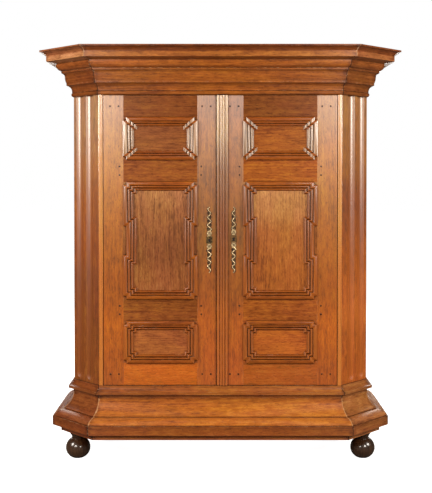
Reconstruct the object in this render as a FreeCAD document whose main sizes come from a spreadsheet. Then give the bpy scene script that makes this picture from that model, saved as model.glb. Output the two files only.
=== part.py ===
"""Two-door kas cupboard with canted, fluted corners, a flared base and a deep mitred cornice.

Frame: X to the right, Y to the back, Z up, millimetres. The floor is Z = 0 and the origin is the
centre of the bounding box's base, so the cornice's front edge and the back lie equally far from it.

The case is a plan outline of five runs (two sides, two 45 degree cants and the front). Every
moulding follows that outline at its own projection and is cut into five mitred lengths.
"""
import FreeCAD, Part
import math
import os
import re

import Sketcher
from FreeCAD import Placement, Rotation, Vector

SIZES = {
    # case, in plan
    "body_width": 1560.0,
    "body_depth": 560.0,
    "cant_reach": 151.0,
    "wall": 28.0,
    "post_width": 21.0,
    "post_bead": 3.0,
    "board": 25.0,
    "fit": 0.2,
    # feet
    "foot_height": 149.0,
    "foot_radius": 65.0,
    "foot_sole_radius": 30.0,
    "foot_ball_height": 104.0,
    "foot_neck_radius": 31.0,
    "foot_neck_height": 7.0,
    "foot_collar_radius": 42.0,
    "foot_collar_height": 24.0,
    "foot_tenon_radius": 18.0,
    "foot_tenon_length": 30.0,
    "front_foot_side_inset": 85.0,
    "front_foot_cant_inset": 75.0,
    "rear_foot_side": 80.0,
    "rear_foot_inset": 30.0,
    "rear_foot_side_inset": 105.0,
    # flared base: heights and projections from the case's faces
    "sub_base_height": 34.0,
    "sub_base_projection": 67.0,
    "sub_base_rail_width": 150.0,
    "plinth_height": 47.0,
    "plinth_projection": 110.0,
    "roll_foot_height": 6.0,
    "roll_projection": 104.0,
    "roll_height": 26.0,
    "roll_top_projection": 56.0,
    "cove_foot_height": 7.0,
    "cove_foot_projection": 52.0,
    "cove_height": 81.0,
    "cove_top_projection": 4.0,
    "waist_neck_height": 14.0,
    "waist_neck_projection": 5.0,
    "waist_soffit_height": 7.0,
    "waist_projection": 30.0,
    "waist_fillet_height": 14.0,
    "waist_hollow_height": 24.0,
    "waist_hollow_projection": 5.0,
    "waist_top_height": 6.0,
    # door opening
    "opening_height": 1506.0,
    # cornice, from the bead upwards
    "bead_height": 22.0,
    "bead_projection": 4.0,
    "neck_height": 5.0,
    "neck_projection": 9.0,
    "hollow_height": 33.0,
    "hollow_projection": 34.0,
    "hollow_fillet_height": 6.0,
    "hollow_fillet_projection": 37.0,
    "swell_foot_height": 4.0,
    "swell_height": 34.0,
    "swell_projection": 45.0,
    "scotia_height": 20.0,
    "scotia_projection": 57.0,
    "scotia_fillet_height": 9.0,
    "scotia_fillet_projection": 62.0,
    "ovolo_foot_height": 1.5,
    "ovolo_height": 29.5,
    "ovolo_projection": 88.0,
    "ovolo_fillet_height": 9.0,
    "drip_foot_height": 0.5,
    "drip_height": 8.5,
    "corona_projection": 137.0,
    "corona_height": 30.0,
    "lip_flare_height": 19.0,
    "lip_projection": 170.0,
    "lip_height": 8.0,
    "corona_back": 40.0,
    "cornice_top_drop": 5.0,
    # corner flutes
    "flute_width": 60.0,
    "flute_depth": 11.0,
    "flute_pitch": 84.0,
    "flute_offset": 12.0,
    "flute_stop": 13.0,
    # side frames and back
    "side_stile_width": 85.0,
    "side_rail_height": 110.0,
    "side_panel_thickness": 10.0,
    "back_thickness": 18.0,
    "back_board_count": 6,
    # shelves
    "shelf_count": 3,
    "shelf_thickness": 20.0,
    "shelf_setback": 92.0,
    "bearer": 22.0,
    # doors
    "door_thickness": 30.0,
    "door_gap": 2.5,
    "meeting_gap": 3.0,
    "meeting_offset": 22.0,
    "hinge_stile_width": 102.5,
    "panel_column_inner": 117.0,
    "rail_height": 113.0,
    "small_panel_height": 220.0,
    "panel_lap": 2.0,
    "edge_round": 5.0,
    "tenon_length": 80.0,
    "tenon_thickness": 9.0,
    "tenon_shoulder": 12.0,
    "tongue_length": 9.0,
    "tongue_thickness": 8.0,
    "tongue_setback": 8.0,
    "panel_thickness": 18.0,
    "peg_radius": 4.0,
    "peg_length": 24.0,
    "peg_proud": 0.8,
    "peg_spread": 44.0,
    "peg_edge": 20.0,
    "peg_pair_edge": 47.0,
    # panel mouldings
    "frame_moulding_width": 51.0,
    "frame_moulding_edge": 8.0,
    "frame_moulding_band": 15.0,
    "frame_moulding_band_rise": 1.0,
    "frame_moulding_band_crown": 2.3,
    "frame_moulding_quirk": 4.0,
    "frame_moulding_quirk_slant": 1.0,
    "frame_moulding_quirk_height": 5.0,
    "frame_moulding_reed": 12.0,
    "frame_moulding_reed_crown": 3.3,
    "frame_moulding_height": 11.0,
    "frame_moulding_step": 2.0,
    "frame_moulding_hollow": 2.5,
    "frame_moulding_inner_height": 4.0,
    "corner_notch": 17.0,
    "side_step": 17.0,
    "side_step_height": 152.0,
    # astragal on the right door's meeting edge
    "astragal_width": 62.0,
    "astragal_edge": 6.0,
    "astragal_margin": 9.0,
    "astragal_hollow": 1.6,
    "astragal_root": 6.5,
    "astragal_reed": 17.0,
    "astragal_reed_rise": 7.0,
    # pivot hinges
    "pin_radius": 4.5,
    "pin_clearance": 0.05,
    "pin_edge": 14.0,
    "pin_behind_face": 9.5,
    "pin_reach": 22.0,
    "pin_end_clearance": 1.0,
    "pin_collar_half": 8.0,
    "pin_collar_clearance": 0.1,
    # door stops
    "stop_section": 15.0,
    "stop_clearance": 0.3,
    "stop_inner": 104.0,
    "stop_outer": 540.0,
    # escutcheons
    "escutcheon_height": 344.0,
    "escutcheon_stem": 6.0,
    "escutcheon_plate": 1.6,
    "scroll_count": 4,
    "scroll_radius": 13.0,
    "scroll_taper": 1.4,
    "scroll_wall": 4.5,
    "scroll_sway": 2.0,
    "keyhole_plate_width": 31.0,
    "keyhole_plate_height": 42.0,
    "keyhole_radius": 4.5,
    "keyhole_slot_width": 5.0,
    "keyhole_slot_length": 15.0,
    "lock_height": 756.0,
    "left_escutcheon_offset": 57.0,
    "right_escutcheon_offset": 69.0,
    # lock on the right door, keeper on the left
    "lock_case_width": 120.0,
    "lock_case_height": 90.0,
    "lock_case_depth": 18.0,
    "lock_case_edge": 3.0,
    "lock_bolt_length": 74.0,
    "lock_bolt_height": 24.0,
    "lock_bolt_thickness": 10.0,
    "lock_bolt_setback": 4.0,
    "lock_bolt_travel": 16.0,
    "slide_clearance": 0.4,
    "keeper_edge": 4.0,
    "keeper_spare": 14.0,
    "keeper_clearance": 1.0,
    "keeper_post": 9.0,
    "keeper_strap": 4.0,
    # shoot bolts on the left door
    "shoot_bolt_offset": 72.0,
    "shoot_bolt_width": 16.0,
    "shoot_bolt_thickness": 8.0,
    "shoot_bolt_length": 300.0,
    "shoot_bolt_travel": 18.0,
    "shoot_bolt_knob_radius": 8.0,
    "shoot_bolt_knob_length": 16.0,
    "guide_height": 22.0,
    "guide_strap": 4.0,
    "guide_post": 5.0,
    "guide_inset": 40.0,
    "bolt_socket_spare": 4.5,
    "bolt_socket_clearance": 2.0,
}

doc = FreeCAD.newDocument("kas_cupboard")
sheet = doc.addObject("Spreadsheet::Sheet", "Sizes")
for row, (alias, value) in enumerate(SIZES.items(), start=1):
    sheet.set(f"A{row}", alias)
    sheet.set(f"B{row}", str(value))
    sheet.setAlias(f"B{row}", alias)
doc.recompute()

nodes = {}


# ---------------------------------------------------------------- expressions

def bound(expression):
    """The expression with every size in it written as a cell of the sheet."""
    return re.sub(r"[a-z][a-z_]+", lambda m: f"Sizes.{m[0]}" if m[0] in SIZES else m[0], expression)


def measure(expression):
    """The expression's value in millimetres."""
    return float(sheet.evalExpression(bound(expression)))


def total(*expressions):
    return "(" + " + ".join(f"({e})" for e in expressions) + ")"


def minus(first, second):
    return f"(({first}) - ({second}))"


def bowed(run, rise, bow):
    """The radius of an arc that goes along by the run and up by the rise, and bulges by the bow."""
    return f"(((({run})^2 + ({rise})^2) / 4 + ({bow})^2) / (2 * ({bow})))"


def rounded(start, end, bow, chords):
    """Corners from the start to the end of a shallow curve in flat facets, without the end itself.

    The curve rises across the way by the bow, given as its share along each axis.
    """
    corners = [start]
    for step in range(1, chords):
        share = step / chords
        swell = 4 * share * (1 - share)
        corners.append(tuple(f"(({a}) + {share:.4f} * (({b}) - ({a})) + {swell:.4f} * ({c}))"
                             for a, b, c in zip(start, end, bow)))
    return corners


MITRE = "tan(22.5)"
BEAD_BULGE = "0.41"
PEG_SIDES = 4
SCROLL_SIDES = 8
PIERCING_SIDES = 6
BALL_FACETS = 5
BAND_FACETS = 2
REED_FACETS = 3
HOLLOW_FACETS = 2
FRONT_Y = "((lip_projection - body_depth) / 2)"
BACK_Y = "((lip_projection + body_depth) / 2)"
CANT_Y = total(FRONT_Y, "cant_reach")
FRONT_HALF = "(body_width / 2 - cant_reach)"
OPENING_HALF = minus(FRONT_HALF, "post_width")

PLINTH_Z = total("foot_height", "sub_base_height")
ROLL_Z = total(PLINTH_Z, "plinth_height")
COVE_Z = total(ROLL_Z, "roll_foot_height", "roll_height")
WAIST_Z = total(COVE_Z, "cove_foot_height", "cove_height")
FLOOR_Z = total(WAIST_Z, "waist_neck_height", "waist_soffit_height", "waist_fillet_height",
                "waist_hollow_height", "waist_top_height")
LINTEL_Z = total(FLOOR_Z, "opening_height")
FRIEZE_Z = total(LINTEL_Z, "bead_height", "neck_height", "hollow_height", "hollow_fillet_height")
BED_Z = total(FRIEZE_Z, "swell_foot_height", "swell_height", "scotia_height",
              "scotia_fillet_height")
CORONA_Z = total(BED_Z, "ovolo_foot_height", "ovolo_height", "ovolo_fillet_height")
TOP_Z = total(CORONA_Z, "drip_foot_height", "drip_height", "corona_height", "lip_flare_height",
              "lip_height")
CORNICE_TOP_Z = minus(TOP_Z, "board + cornice_top_drop")

DOOR_BOTTOM = total(FLOOR_Z, "door_gap")
DOOR_TOP = minus(LINTEL_Z, "door_gap")
DOOR_HEIGHT = "(opening_height - 2 * door_gap)"
DOOR_EDGE = minus(OPENING_HALF, "door_gap")
DOOR_BACK = total(FRONT_Y, "door_thickness")
LOCK_Z = total(FLOOR_Z, "lock_height")
PIN_X = minus(DOOR_EDGE, "pin_edge")
PIN_Y = total(FRONT_Y, "pin_behind_face")


# ---------------------------------------------------------------- building blocks

PLANES = {"plan": Rotation(), "front": Rotation(Vector(1, 0, 0), 90)}


def place(thing, **axes):
    """Bind the thing's position along the named axes, such as x="body_width / 2"."""
    for axis, expression in axes.items():
        thing.setExpression(f"Placement.Base.{axis}", bound(expression))


def outline(name, corners, plane="plan", **position):
    """A closed sketch through the corners, each (u, v) or (u, v, side, radius).

    A side of 1 or -1 makes the edge that leaves the corner an arc, bulging to the left or right of
    the way round. Every corner and radius is bound to the sheet.
    """
    sketch = doc.addObject("Sketcher::SketchObject", name)
    sketch.Placement = Placement(Vector(), PLANES[plane])
    points = [Vector(measure(c[0]), measure(c[1]), 0) for c in corners]
    starts = []
    for index, corner in enumerate(corners):
        a, b = points[index], points[(index + 1) % len(points)]
        if len(corner) == 2:
            sketch.addGeometry(Part.LineSegment(a, b))
            starts.append(1)
            continue
        chord = b - a
        radius = measure(corner[3])
        sagitta = radius - math.sqrt(max(radius ** 2 - chord.Length ** 2 / 4, 0))
        left = Vector(-chord.y, chord.x, 0).normalize()
        sketch.addGeometry(Part.Arc(a, (a + b) / 2 + left * corner[2] * sagitta, b))
        starts.append(1 if (sketch.getPoint(index, 1) - a).Length < 1e-4 else 2)
    for index, corner in enumerate(corners):
        following = (index + 1) % len(corners)
        sketch.addConstraint(Sketcher.Constraint("Coincident", index, 3 - starts[index],
                                                 following, starts[following]))
        for kind, expression, value in (("DistanceX", corner[0], points[index].x),
                                        ("DistanceY", corner[1], points[index].y)):
            constraint = sketch.addConstraint(
                Sketcher.Constraint(kind, -1, 1, index, starts[index], value))
            sketch.setExpression(f"Constraints[{constraint}]", bound(expression))
        if len(corner) > 2:
            constraint = sketch.addConstraint(
                Sketcher.Constraint("Radius", index, measure(corner[3])))
            sketch.setExpression(f"Constraints[{constraint}]", bound(corner[3]))
    place(sketch, **position)
    return sketch


def prism(name, sketch, length, direction=Vector(0, 0, 1)):
    """The sketch pushed along the direction by the length."""
    solid = doc.addObject("Part::Extrusion", name)
    solid.Base = sketch
    solid.DirMode = "Custom"
    solid.Dir = direction
    solid.Solid = True
    solid.FaceMakerClass = "Part::FaceMakerBullseye"
    solid.setExpression("LengthFwd", bound(length))
    return solid


def turning(name, sketch, x, y):
    """The half profile turned round the vertical line through x, y."""
    solid = doc.addObject("Part::Revolution", name)
    solid.Source = sketch
    solid.Axis = Vector(0, 0, 1)
    solid.Angle = 360
    solid.Solid = True
    solid.setExpression("Base.x", bound(x))
    solid.setExpression("Base.y", bound(y))
    return solid


def block(name, x, y, z, length, width, height):
    """A box from its low corner, with its size along X, Y and Z."""
    solid = doc.addObject("Part::Box", name)
    solid.setExpression("Length", bound(length))
    solid.setExpression("Width", bound(width))
    solid.setExpression("Height", bound(height))
    place(solid, x=x, y=y, z=z)
    return solid


def rod(name, x, y, z, radius, length, axis=Vector(0, 0, 1)):
    """A cylinder from the centre of one end, along the axis."""
    solid = doc.addObject("Part::Cylinder", name)
    solid.Placement = Placement(Vector(), Rotation(Vector(0, 0, 1), axis))
    solid.setExpression("Radius", bound(radius))
    solid.setExpression("Height", bound(length))
    place(solid, x=x, y=y, z=z)
    return solid


def bar(name, sides, x, y, z, radius, length):
    """A many-sided bar from the centre of its front end, lying along Y."""
    solid = doc.addObject("Part::Prism", name)
    solid.Polygon = sides
    solid.Placement = Placement(Vector(), Rotation(Vector(1, 0, 0), -90))
    solid.setExpression("Circumradius", bound(radius))
    solid.setExpression("Height", bound(length))
    place(solid, x=x, y=y, z=z)
    return solid


def group(name, pieces):
    """Separate solids kept together under one name."""
    compound = doc.addObject("Part::Compound", name)
    compound.Links = pieces
    return compound


def fused(name, pieces):
    solid = doc.addObject("Part::MultiFuse", name)
    solid.Shapes = pieces
    return solid


def cut(name, base, tools):
    solid = doc.addObject("Part::Cut", name)
    solid.Base = base
    solid.Tool = tools[0] if len(tools) == 1 else group(f"{name}_tools", tools)
    return solid


def shared(name, first, second):
    solid = doc.addObject("Part::Common", name)
    solid.Base = first
    solid.Tool = second
    return solid


def mirrored(name, source):
    """The source's opposite hand, across the cupboard's middle."""
    solid = doc.addObject("Part::Mirroring", name)
    solid.Source = source
    solid.Normal = Vector(1, 0, 0)
    return solid


def node(name, solid):
    """Name a finished sub-part."""
    solid.Label = name
    nodes[name] = solid
    return solid


# ---------------------------------------------------------------- the case's plan and its mitres

def plan_corner(which, offset):
    """A corner of the plan outline moved out by the offset: front, cant, back."""
    if which == "front":
        return total(FRONT_HALF, f"({offset}) * {MITRE}"), minus(FRONT_Y, offset)
    if which == "cant":
        return total("body_width / 2", offset), minus(CANT_Y, f"({offset}) * {MITRE}")
    return total("body_width / 2", offset), BACK_Y


def flip(point):
    return f"-({point[0]})", point[1]


def run_outline(run, inner, outer):
    """The plan of one mitred length between two offsets from the case's faces."""
    ends = {"front": ("front", "front"), "cant": ("front", "cant"), "side": ("cant", "back")}
    first, last = ends[run.split("_")[-1]]
    near = [plan_corner(first, inner), plan_corner(first, outer)]
    far = [plan_corner(last, outer), plan_corner(last, inner)]
    if run == "front":
        return [flip(near[0]), flip(near[1]), near[1], near[0]]
    corners = near + far
    return corners if run.startswith("right") else [flip(c) for c in corners]


RUNS = ("left_side", "left_cant", "front", "right_cant", "right_side")


def mitred_boards(name, inner, outer, bottom, height, runs=RUNS):
    """Plain boards round the case between two offsets, one for each run."""
    return [prism(f"{name}_{run}",
                  outline(f"{name}_{run}_plan", run_outline(run, inner, outer), z=bottom), height)
            for run in runs]


SECTOR_INNER = "-2 * wall"
SECTOR_OUTER = "2 * lip_projection"
sectors = dict(zip(RUNS, mitred_boards("sector", SECTOR_INNER, SECTOR_OUTER, "0", TOP_Z)))

case_path = doc.addObject("Sketcher::SketchObject", "case_path")
path_corners = [flip(plan_corner(c, "0")) for c in ("back", "cant", "front")]
path_corners += [plan_corner(c, "0") for c in ("front", "cant", "back")]
path_points = [Vector(measure(u), measure(v), 0) for u, v in path_corners]
for start, end in zip(path_points, path_points[1:]):
    case_path.addGeometry(Part.LineSegment(start, end))
for index in range(len(path_points) - 2):
    case_path.addConstraint(Sketcher.Constraint("Coincident", index, 2, index + 1, 1))
for index, (u, v) in enumerate(path_corners):
    edge, end = (index, 1) if index < len(path_corners) - 1 else (index - 1, 2)
    for kind, expression in (("DistanceX", u), ("DistanceY", v)):
        constraint = case_path.addConstraint(
            Sketcher.Constraint(kind, -1, 1, edge, end, measure(expression)))
        case_path.setExpression(f"Constraints[{constraint}]", bound(expression))


def moulding_outline(name, bottom, back, elements):
    """The section of a moulding on the left side, drawn from its back, out and up.

    Each element is (form, height, projection). A fillet or bead first steps to its projection; a
    slope, hollow or round runs there from the element below. A hollow or round is the arc that
    meets the upright, or the level, squarely at one of its ends.
    """
    def across(projection):
        return f"-(body_width / 2 + ({projection}))"

    corners = [[across(back), bottom]]
    height, projection = bottom, back
    for form, rise, reach in elements:
        if form in ("fillet", "bead"):
            if reach != projection:
                corners.append([across(reach), height])
            projection = reach
        elif len(corners) == 1:
            corners.append([across(projection), height])
        du, dv = minus(reach, projection), f"({rise})"
        if form in ("hollow", "round"):
            side = 1 if form == "round" else -1
            least = f"min(abs({du}); {dv})"
            corners[-1] += [side, f"(({du})^2 + {dv}^2) / (2 * {least})"]
        elif form == "bead":
            corners[-1] += [1, bowed("0", dv, f"{BEAD_BULGE} * {dv}")]
        height, projection = total(height, rise), reach
        corners.append([across(projection), height])
    corners.append([across(back), height])
    return outline(name, corners, "front", y=BACK_Y)


def moulding(name, bottom, back, elements):
    """A moulding carried round the case and cut into its five mitred lengths."""
    sweep = doc.addObject("Part::Sweep", f"{name}_run")
    sweep.Sections = [moulding_outline(f"{name}_section", bottom, back, elements)]
    sweep.Spine = (case_path, [])
    sweep.Transition = "Right corner"
    sweep.Solid = True
    sweep.Frenet = False
    return node(name, group(name, [shared(f"{name}_{run}", sweep, sectors[run]) for run in RUNS]))


# ---------------------------------------------------------------- feet

def bun_foot(name):
    """A turned ball foot with a short collar and a round tenon, near the left cant's back corner."""
    out = "(body_width / 2 + sub_base_projection - front_foot_side_inset)"
    x = f"-{out}"
    y = total(FRONT_Y, out, f"-{FRONT_HALF}",
              "(front_foot_cant_inset - sub_base_projection) / cos(45)")
    bow = (minus("foot_radius", "(foot_sole_radius + foot_neck_radius) / 2"), "0")
    ball = rounded(("foot_sole_radius", "0"), ("foot_neck_radius", "foot_ball_height"), bow,
                   BALL_FACETS)
    section = outline(f"{name}_section", [
        ("0", "0"),
        *ball,
        ("foot_neck_radius", "foot_ball_height"),
        ("foot_neck_radius", "foot_ball_height + foot_neck_height"),
        ("foot_collar_radius", "foot_height - foot_collar_height"),
        ("foot_collar_radius", "foot_height"),
        ("foot_tenon_radius", "foot_height"),
        ("foot_tenon_radius", "foot_height + foot_tenon_length"),
        ("0", "foot_height + foot_tenon_length"),
    ], "front", x=x, y=y)
    socket = rod(f"{name}_socket", x, y, "foot_height", "foot_tenon_radius + fit", "sub_base_height")
    return turning(name, section, x, y), socket


left_foot, left_socket = bun_foot("front_left_foot")
right_foot, right_socket = (mirrored("front_right_foot", left_foot),
                            mirrored("front_right_foot_socket", left_socket))
node("front_feet", group("front_feet", [left_foot, right_foot]))

rear_foot_x = "body_width / 2 - rear_foot_side_inset - rear_foot_side"
rear_foot_y = minus(BACK_Y, "rear_foot_inset + rear_foot_side")
rear_left_foot = block("rear_foot_left", f"-({rear_foot_x}) - rear_foot_side", rear_foot_y, "0",
                       "rear_foot_side", "rear_foot_side", "foot_height")
rear_right_foot = block("rear_foot_right", rear_foot_x, rear_foot_y, "0",
                        "rear_foot_side", "rear_foot_side", "foot_height")
node("rear_feet", group("rear_feet", [rear_left_foot, rear_right_foot]))


# ---------------------------------------------------------------- base

def back_rail(name, inner, bottom, height, depth):
    """A board across the back, between the side runs' inner faces."""
    reach = f"(body_width / 2 + ({inner}))"
    return block(name, f"-{reach}", minus(BACK_Y, depth), bottom, f"2 * {reach}", depth, height)


SUB_BASE_INNER = "(sub_base_projection - sub_base_rail_width)"
sub_base = mitred_boards("sub_base", SUB_BASE_INNER, "sub_base_projection", "foot_height",
                         "sub_base_height")
for run, socket in (("left_side", left_socket), ("left_cant", left_socket),
                    ("right_cant", right_socket), ("right_side", right_socket)):
    index = RUNS.index(run)
    sub_base[index] = cut(f"sub_base_{run}_bored", sub_base[index], [socket])
sub_base.append(back_rail("sub_base_back", SUB_BASE_INNER, "foot_height", "sub_base_height",
                          "rear_foot_side + rear_foot_inset"))
node("sub_base", group("sub_base", sub_base))

base_frame = mitred_boards("base_frame", "-wall", "0", PLINTH_Z,
                           minus(minus(FLOOR_Z, "board"), PLINTH_Z))
base_frame.append(back_rail("base_frame_back", "-wall", PLINTH_Z,
                            minus(minus(FLOOR_Z, "board"), PLINTH_Z), "wall"))
node("base_frame", group("base_frame", base_frame))

moulding("plinth", PLINTH_Z, "0", [("fillet", "plinth_height", "plinth_projection")])
moulding("base_roll", ROLL_Z, "0", [
    ("fillet", "roll_foot_height", "roll_projection"),
    ("round", "roll_height", "roll_top_projection"),
])
moulding("base_cove", COVE_Z, "0", [
    ("fillet", "cove_foot_height", "cove_foot_projection"),
    ("hollow", "cove_height", "cove_top_projection"),
])
moulding("waist_moulding", WAIST_Z, "0", [
    ("fillet", "waist_neck_height", "waist_neck_projection"),
    ("slope", "waist_soffit_height", "waist_projection"),
    ("fillet", "waist_fillet_height", "waist_projection"),
    ("hollow", "waist_hollow_height", "waist_hollow_projection"),
    ("fillet", "waist_top_height", "waist_hollow_projection"),
])


# ---------------------------------------------------------------- case

def case_board(name, bottom):
    """A horizontal board that fills the case's plan."""
    plan = [plan_corner(c, "0") for c in ("back", "cant", "front")]
    plan += [flip(plan_corner(c, "0")) for c in ("front", "cant", "back")]
    return prism(name, outline(f"{name}_plan", plan, z=bottom), "board")


pin_holes = {end: [rod(f"{end}_pin_hole_{side}", f"{sign} * {PIN_X}", PIN_Y, start,
                       "pin_radius + pin_clearance", "pin_reach")
                   for side, sign in (("left", -1), ("right", 1))]
             for end, start in (("bottom", minus(FLOOR_Z, "pin_reach")), ("top", LINTEL_Z))}

SHOOT_X = "-shoot_bolt_offset"
SHOOT_Y = total(DOOR_BACK, "slide_clearance")
SOCKET_DEPTH = "(shoot_bolt_travel - door_gap + bolt_socket_spare)"
socket_size = {"length": "shoot_bolt_width + 2 * bolt_socket_clearance",
               "width": "shoot_bolt_thickness + 2 * bolt_socket_clearance"}
bolt_sockets = {end: block(f"{end}_bolt_socket",
                           f"{SHOOT_X} - shoot_bolt_width / 2 - bolt_socket_clearance",
                           minus(SHOOT_Y, "bolt_socket_clearance"), start,
                           height=SOCKET_DEPTH, **socket_size)
                for end, start in (("bottom", minus(FLOOR_Z, SOCKET_DEPTH)),
                                   ("top", LINTEL_Z))}

node("bottom_board", cut("bottom_board", case_board("bottom_board_blank", minus(FLOOR_Z, "board")),
                         pin_holes["bottom"] + [bolt_sockets["bottom"]]))
node("top_board", cut("top_board", case_board("top_board_blank", LINTEL_Z),
                      pin_holes["top"] + [bolt_sockets["top"]]))


def flute(name, position):
    """A round-bottomed groove up the right cant, stopped above the waist by a rounded end."""
    radius = "((flute_width / 2)^2 + flute_depth^2) / (2 * flute_depth)"
    out = minus(radius, "flute_depth")
    x = f"{FRONT_HALF} + (({position}) + {out}) * cos(45)"
    y = f"{FRONT_Y} + (({position}) - {out}) * cos(45)"
    bottom = total(FLOOR_Z, "flute_stop", "flute_width / 2")
    shaft = rod(f"{name}_shaft", x, y, bottom, radius, "opening_height")
    end = doc.addObject("Part::Sphere", f"{name}_end")
    end.setExpression("Radius", bound(radius))
    place(end, x=x, y=y, z=bottom)
    return fused(name, [shaft, end])


cant_middle = "cant_reach / cos(45) / 2 + flute_offset"
flutes = [flute(f"flute_{name}", f"{cant_middle} {sign} flute_pitch / 2")
          for name, sign in (("inner", "-"), ("outer", "+"))]
corner_blank = mitred_boards("corner_board", "-wall", "0", FLOOR_Z, "opening_height",
                             ["right_cant"])[0]
corner_board = node("right_corner_board", cut("right_corner_board", corner_blank, flutes))
node("left_corner_board", mirrored("left_corner_board", corner_board))

# the post's face is a bead, which stands a little proud of the doors
post_plan = [(OPENING_HALF, FRONT_Y, -1, bowed("post_width", "0", "post_bead")),
             plan_corner("front", "0"), plan_corner("front", "-wall"),
             (OPENING_HALF, total(FRONT_Y, "wall"))]
front_post = node("right_front_post",
                  prism("right_front_post", outline("front_post_plan", post_plan, z=FLOOR_Z),
                        "opening_height"))
node("left_front_post", mirrored("left_front_post", front_post))


# side frames: two stiles, three rails and two panels, grooved together
SIDE_OUT = "body_width / 2"
SIDE_IN = minus(SIDE_OUT, "wall")
SIDE_FRONT = total(CANT_Y, "wall * " + MITRE)
SIDE_RAIL_Y = total(SIDE_FRONT, "side_stile_width")
SIDE_RAIL_LENGTH = f"({BACK_Y} - {SIDE_RAIL_Y} - side_stile_width)"
SIDE_PANEL_HEIGHT = "((opening_height - 3 * side_rail_height) / 2)"
SIDE_PANEL_X = f"({SIDE_IN} + (wall - side_panel_thickness) / 2)"


def side_panel(name, level, grow):
    """A side panel, or with a little growth the groove that holds it."""
    bottom = total(FLOOR_Z, f"side_rail_height + {level} * (side_rail_height + {SIDE_PANEL_HEIGHT})")
    edge = f"(tongue_length + ({grow}))"
    return block(name, f"{SIDE_PANEL_X} - ({grow}) / 2", minus(SIDE_RAIL_Y, edge),
                 minus(bottom, edge), f"side_panel_thickness + ({grow})",
                 f"{SIDE_RAIL_LENGTH} + 2 * {edge}", f"{SIDE_PANEL_HEIGHT} + 2 * {edge}")


side_grooves = group("side_grooves", [side_panel(f"side_groove_{n}", n, "fit") for n in (0, 1)])
side_front_plan = [plan_corner("cant", "0"), (SIDE_OUT, SIDE_RAIL_Y), (SIDE_IN, SIDE_RAIL_Y),
                   plan_corner("cant", "-wall")]
side_members = [
    prism("side_front_stile_blank", outline("side_front_stile_plan", side_front_plan, z=FLOOR_Z),
          "opening_height"),
    block("side_back_stile_blank", SIDE_IN, minus(BACK_Y, "side_stile_width"), FLOOR_Z, "wall",
          "side_stile_width", "opening_height"),
]
side_members += [
    block(f"side_rail_{n}_blank", SIDE_IN, SIDE_RAIL_Y,
          total(FLOOR_Z, f"{n} * (side_rail_height + {SIDE_PANEL_HEIGHT})"), "wall",
          SIDE_RAIL_LENGTH, "side_rail_height")
    for n in range(3)
]
side_frame = node("right_side_frame", group("right_side_frame", [
    cut(member.Name.replace("_blank", ""), member, [side_grooves]) for member in side_members]))
node("left_side_frame", mirrored("left_side_frame", side_frame))
side_panels = group("right_side_panels", [side_panel(f"side_panel_{n}", n, "0") for n in (0, 1)])
node("side_panels", group("side_panels", [side_panels, mirrored("left_side_panels", side_panels)]))

board_count = int(SIZES["back_board_count"])
BACK_BOARD_WIDTH = f"(2 * {SIDE_IN} / back_board_count)"
node("back_boards", group("back_boards", [
    block(f"back_board_{n}", f"-{SIDE_IN} + {n} * {BACK_BOARD_WIDTH}", minus(BACK_Y, "back_thickness"),
          FLOOR_Z, BACK_BOARD_WIDTH, "back_thickness", "opening_height")
    for n in range(board_count)]))


# ---------------------------------------------------------------- shelves

shelf_count = int(SIZES["shelf_count"])
SHELF_PITCH = "(opening_height / (shelf_count + 1))"
SHELF_BACK = minus(minus(BACK_Y, "back_thickness"), "fit")
SHELF_FRONT = total(FRONT_Y, "shelf_setback")
CANT_IN = "(-wall - fit)"


def shelf_plan():
    """The case's inside, with the front edge set back behind the doors."""
    back_x, _ = plan_corner("back", CANT_IN)
    front_x = total(plan_corner("front", CANT_IN)[0],
                    minus(SHELF_FRONT, plan_corner("front", CANT_IN)[1]))
    half = [(back_x, SHELF_BACK), plan_corner("cant", CANT_IN), (front_x, SHELF_FRONT)]
    return half + [flip(c) for c in reversed(half)]


def shelf_bottom(n):
    return total(FLOOR_Z, f"{n + 1} * {SHELF_PITCH} - shelf_thickness")


node("shelves", group("shelves", [
    prism(f"shelf_{n}", outline(f"shelf_{n}_plan", shelf_plan(), z=shelf_bottom(n)),
          "shelf_thickness")
    for n in range(shelf_count)]))
bearers = group("right_shelf_bearers", [
    block(f"shelf_bearer_{n}", minus(SIDE_IN, "bearer"), SIDE_RAIL_Y, minus(shelf_bottom(n), "bearer"),
          "bearer", SIDE_RAIL_LENGTH, "bearer")
    for n in range(shelf_count)])
node("shelf_bearers", group("shelf_bearers", [bearers, mirrored("left_shelf_bearers", bearers)]))


# ---------------------------------------------------------------- cornice

moulding("cornice_architrave", LINTEL_Z, "0", [
    ("bead", "bead_height", "bead_projection"),
    ("fillet", "neck_height", "neck_projection"),
    ("hollow", "hollow_height", "hollow_projection"),
    ("fillet", "hollow_fillet_height", "hollow_fillet_projection"),
])
moulding("cornice_frieze", FRIEZE_Z, "0", [
    ("fillet", "swell_foot_height", "hollow_fillet_projection"),
    ("round", "swell_height", "swell_projection"),
    ("hollow", "scotia_height", "scotia_projection"),
    ("fillet", "scotia_fillet_height", "scotia_fillet_projection"),
])
moulding("cornice_bed", BED_Z, "0", [
    ("fillet", "ovolo_foot_height", "scotia_fillet_projection"),
    ("round", "ovolo_height", "ovolo_projection"),
    ("fillet", "ovolo_fillet_height", "ovolo_projection"),
])
moulding("cornice_corona", CORONA_Z, "corona_back", [
    ("fillet", "drip_foot_height", "ovolo_projection"),
    ("slope", "drip_height", "corona_projection"),
    ("fillet", "corona_height", "corona_projection"),
    ("hollow", "lip_flare_height", "lip_projection"),
    ("fillet", "lip_height", "lip_projection"),
])
CORNICE_FRAME_Z = total(LINTEL_Z, "board")
CORNICE_FRAME_HEIGHT = minus(CORNICE_TOP_Z, CORNICE_FRAME_Z)
cornice_frame = mitred_boards("cornice_frame", "-wall", "0", CORNICE_FRAME_Z, CORNICE_FRAME_HEIGHT)
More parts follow.
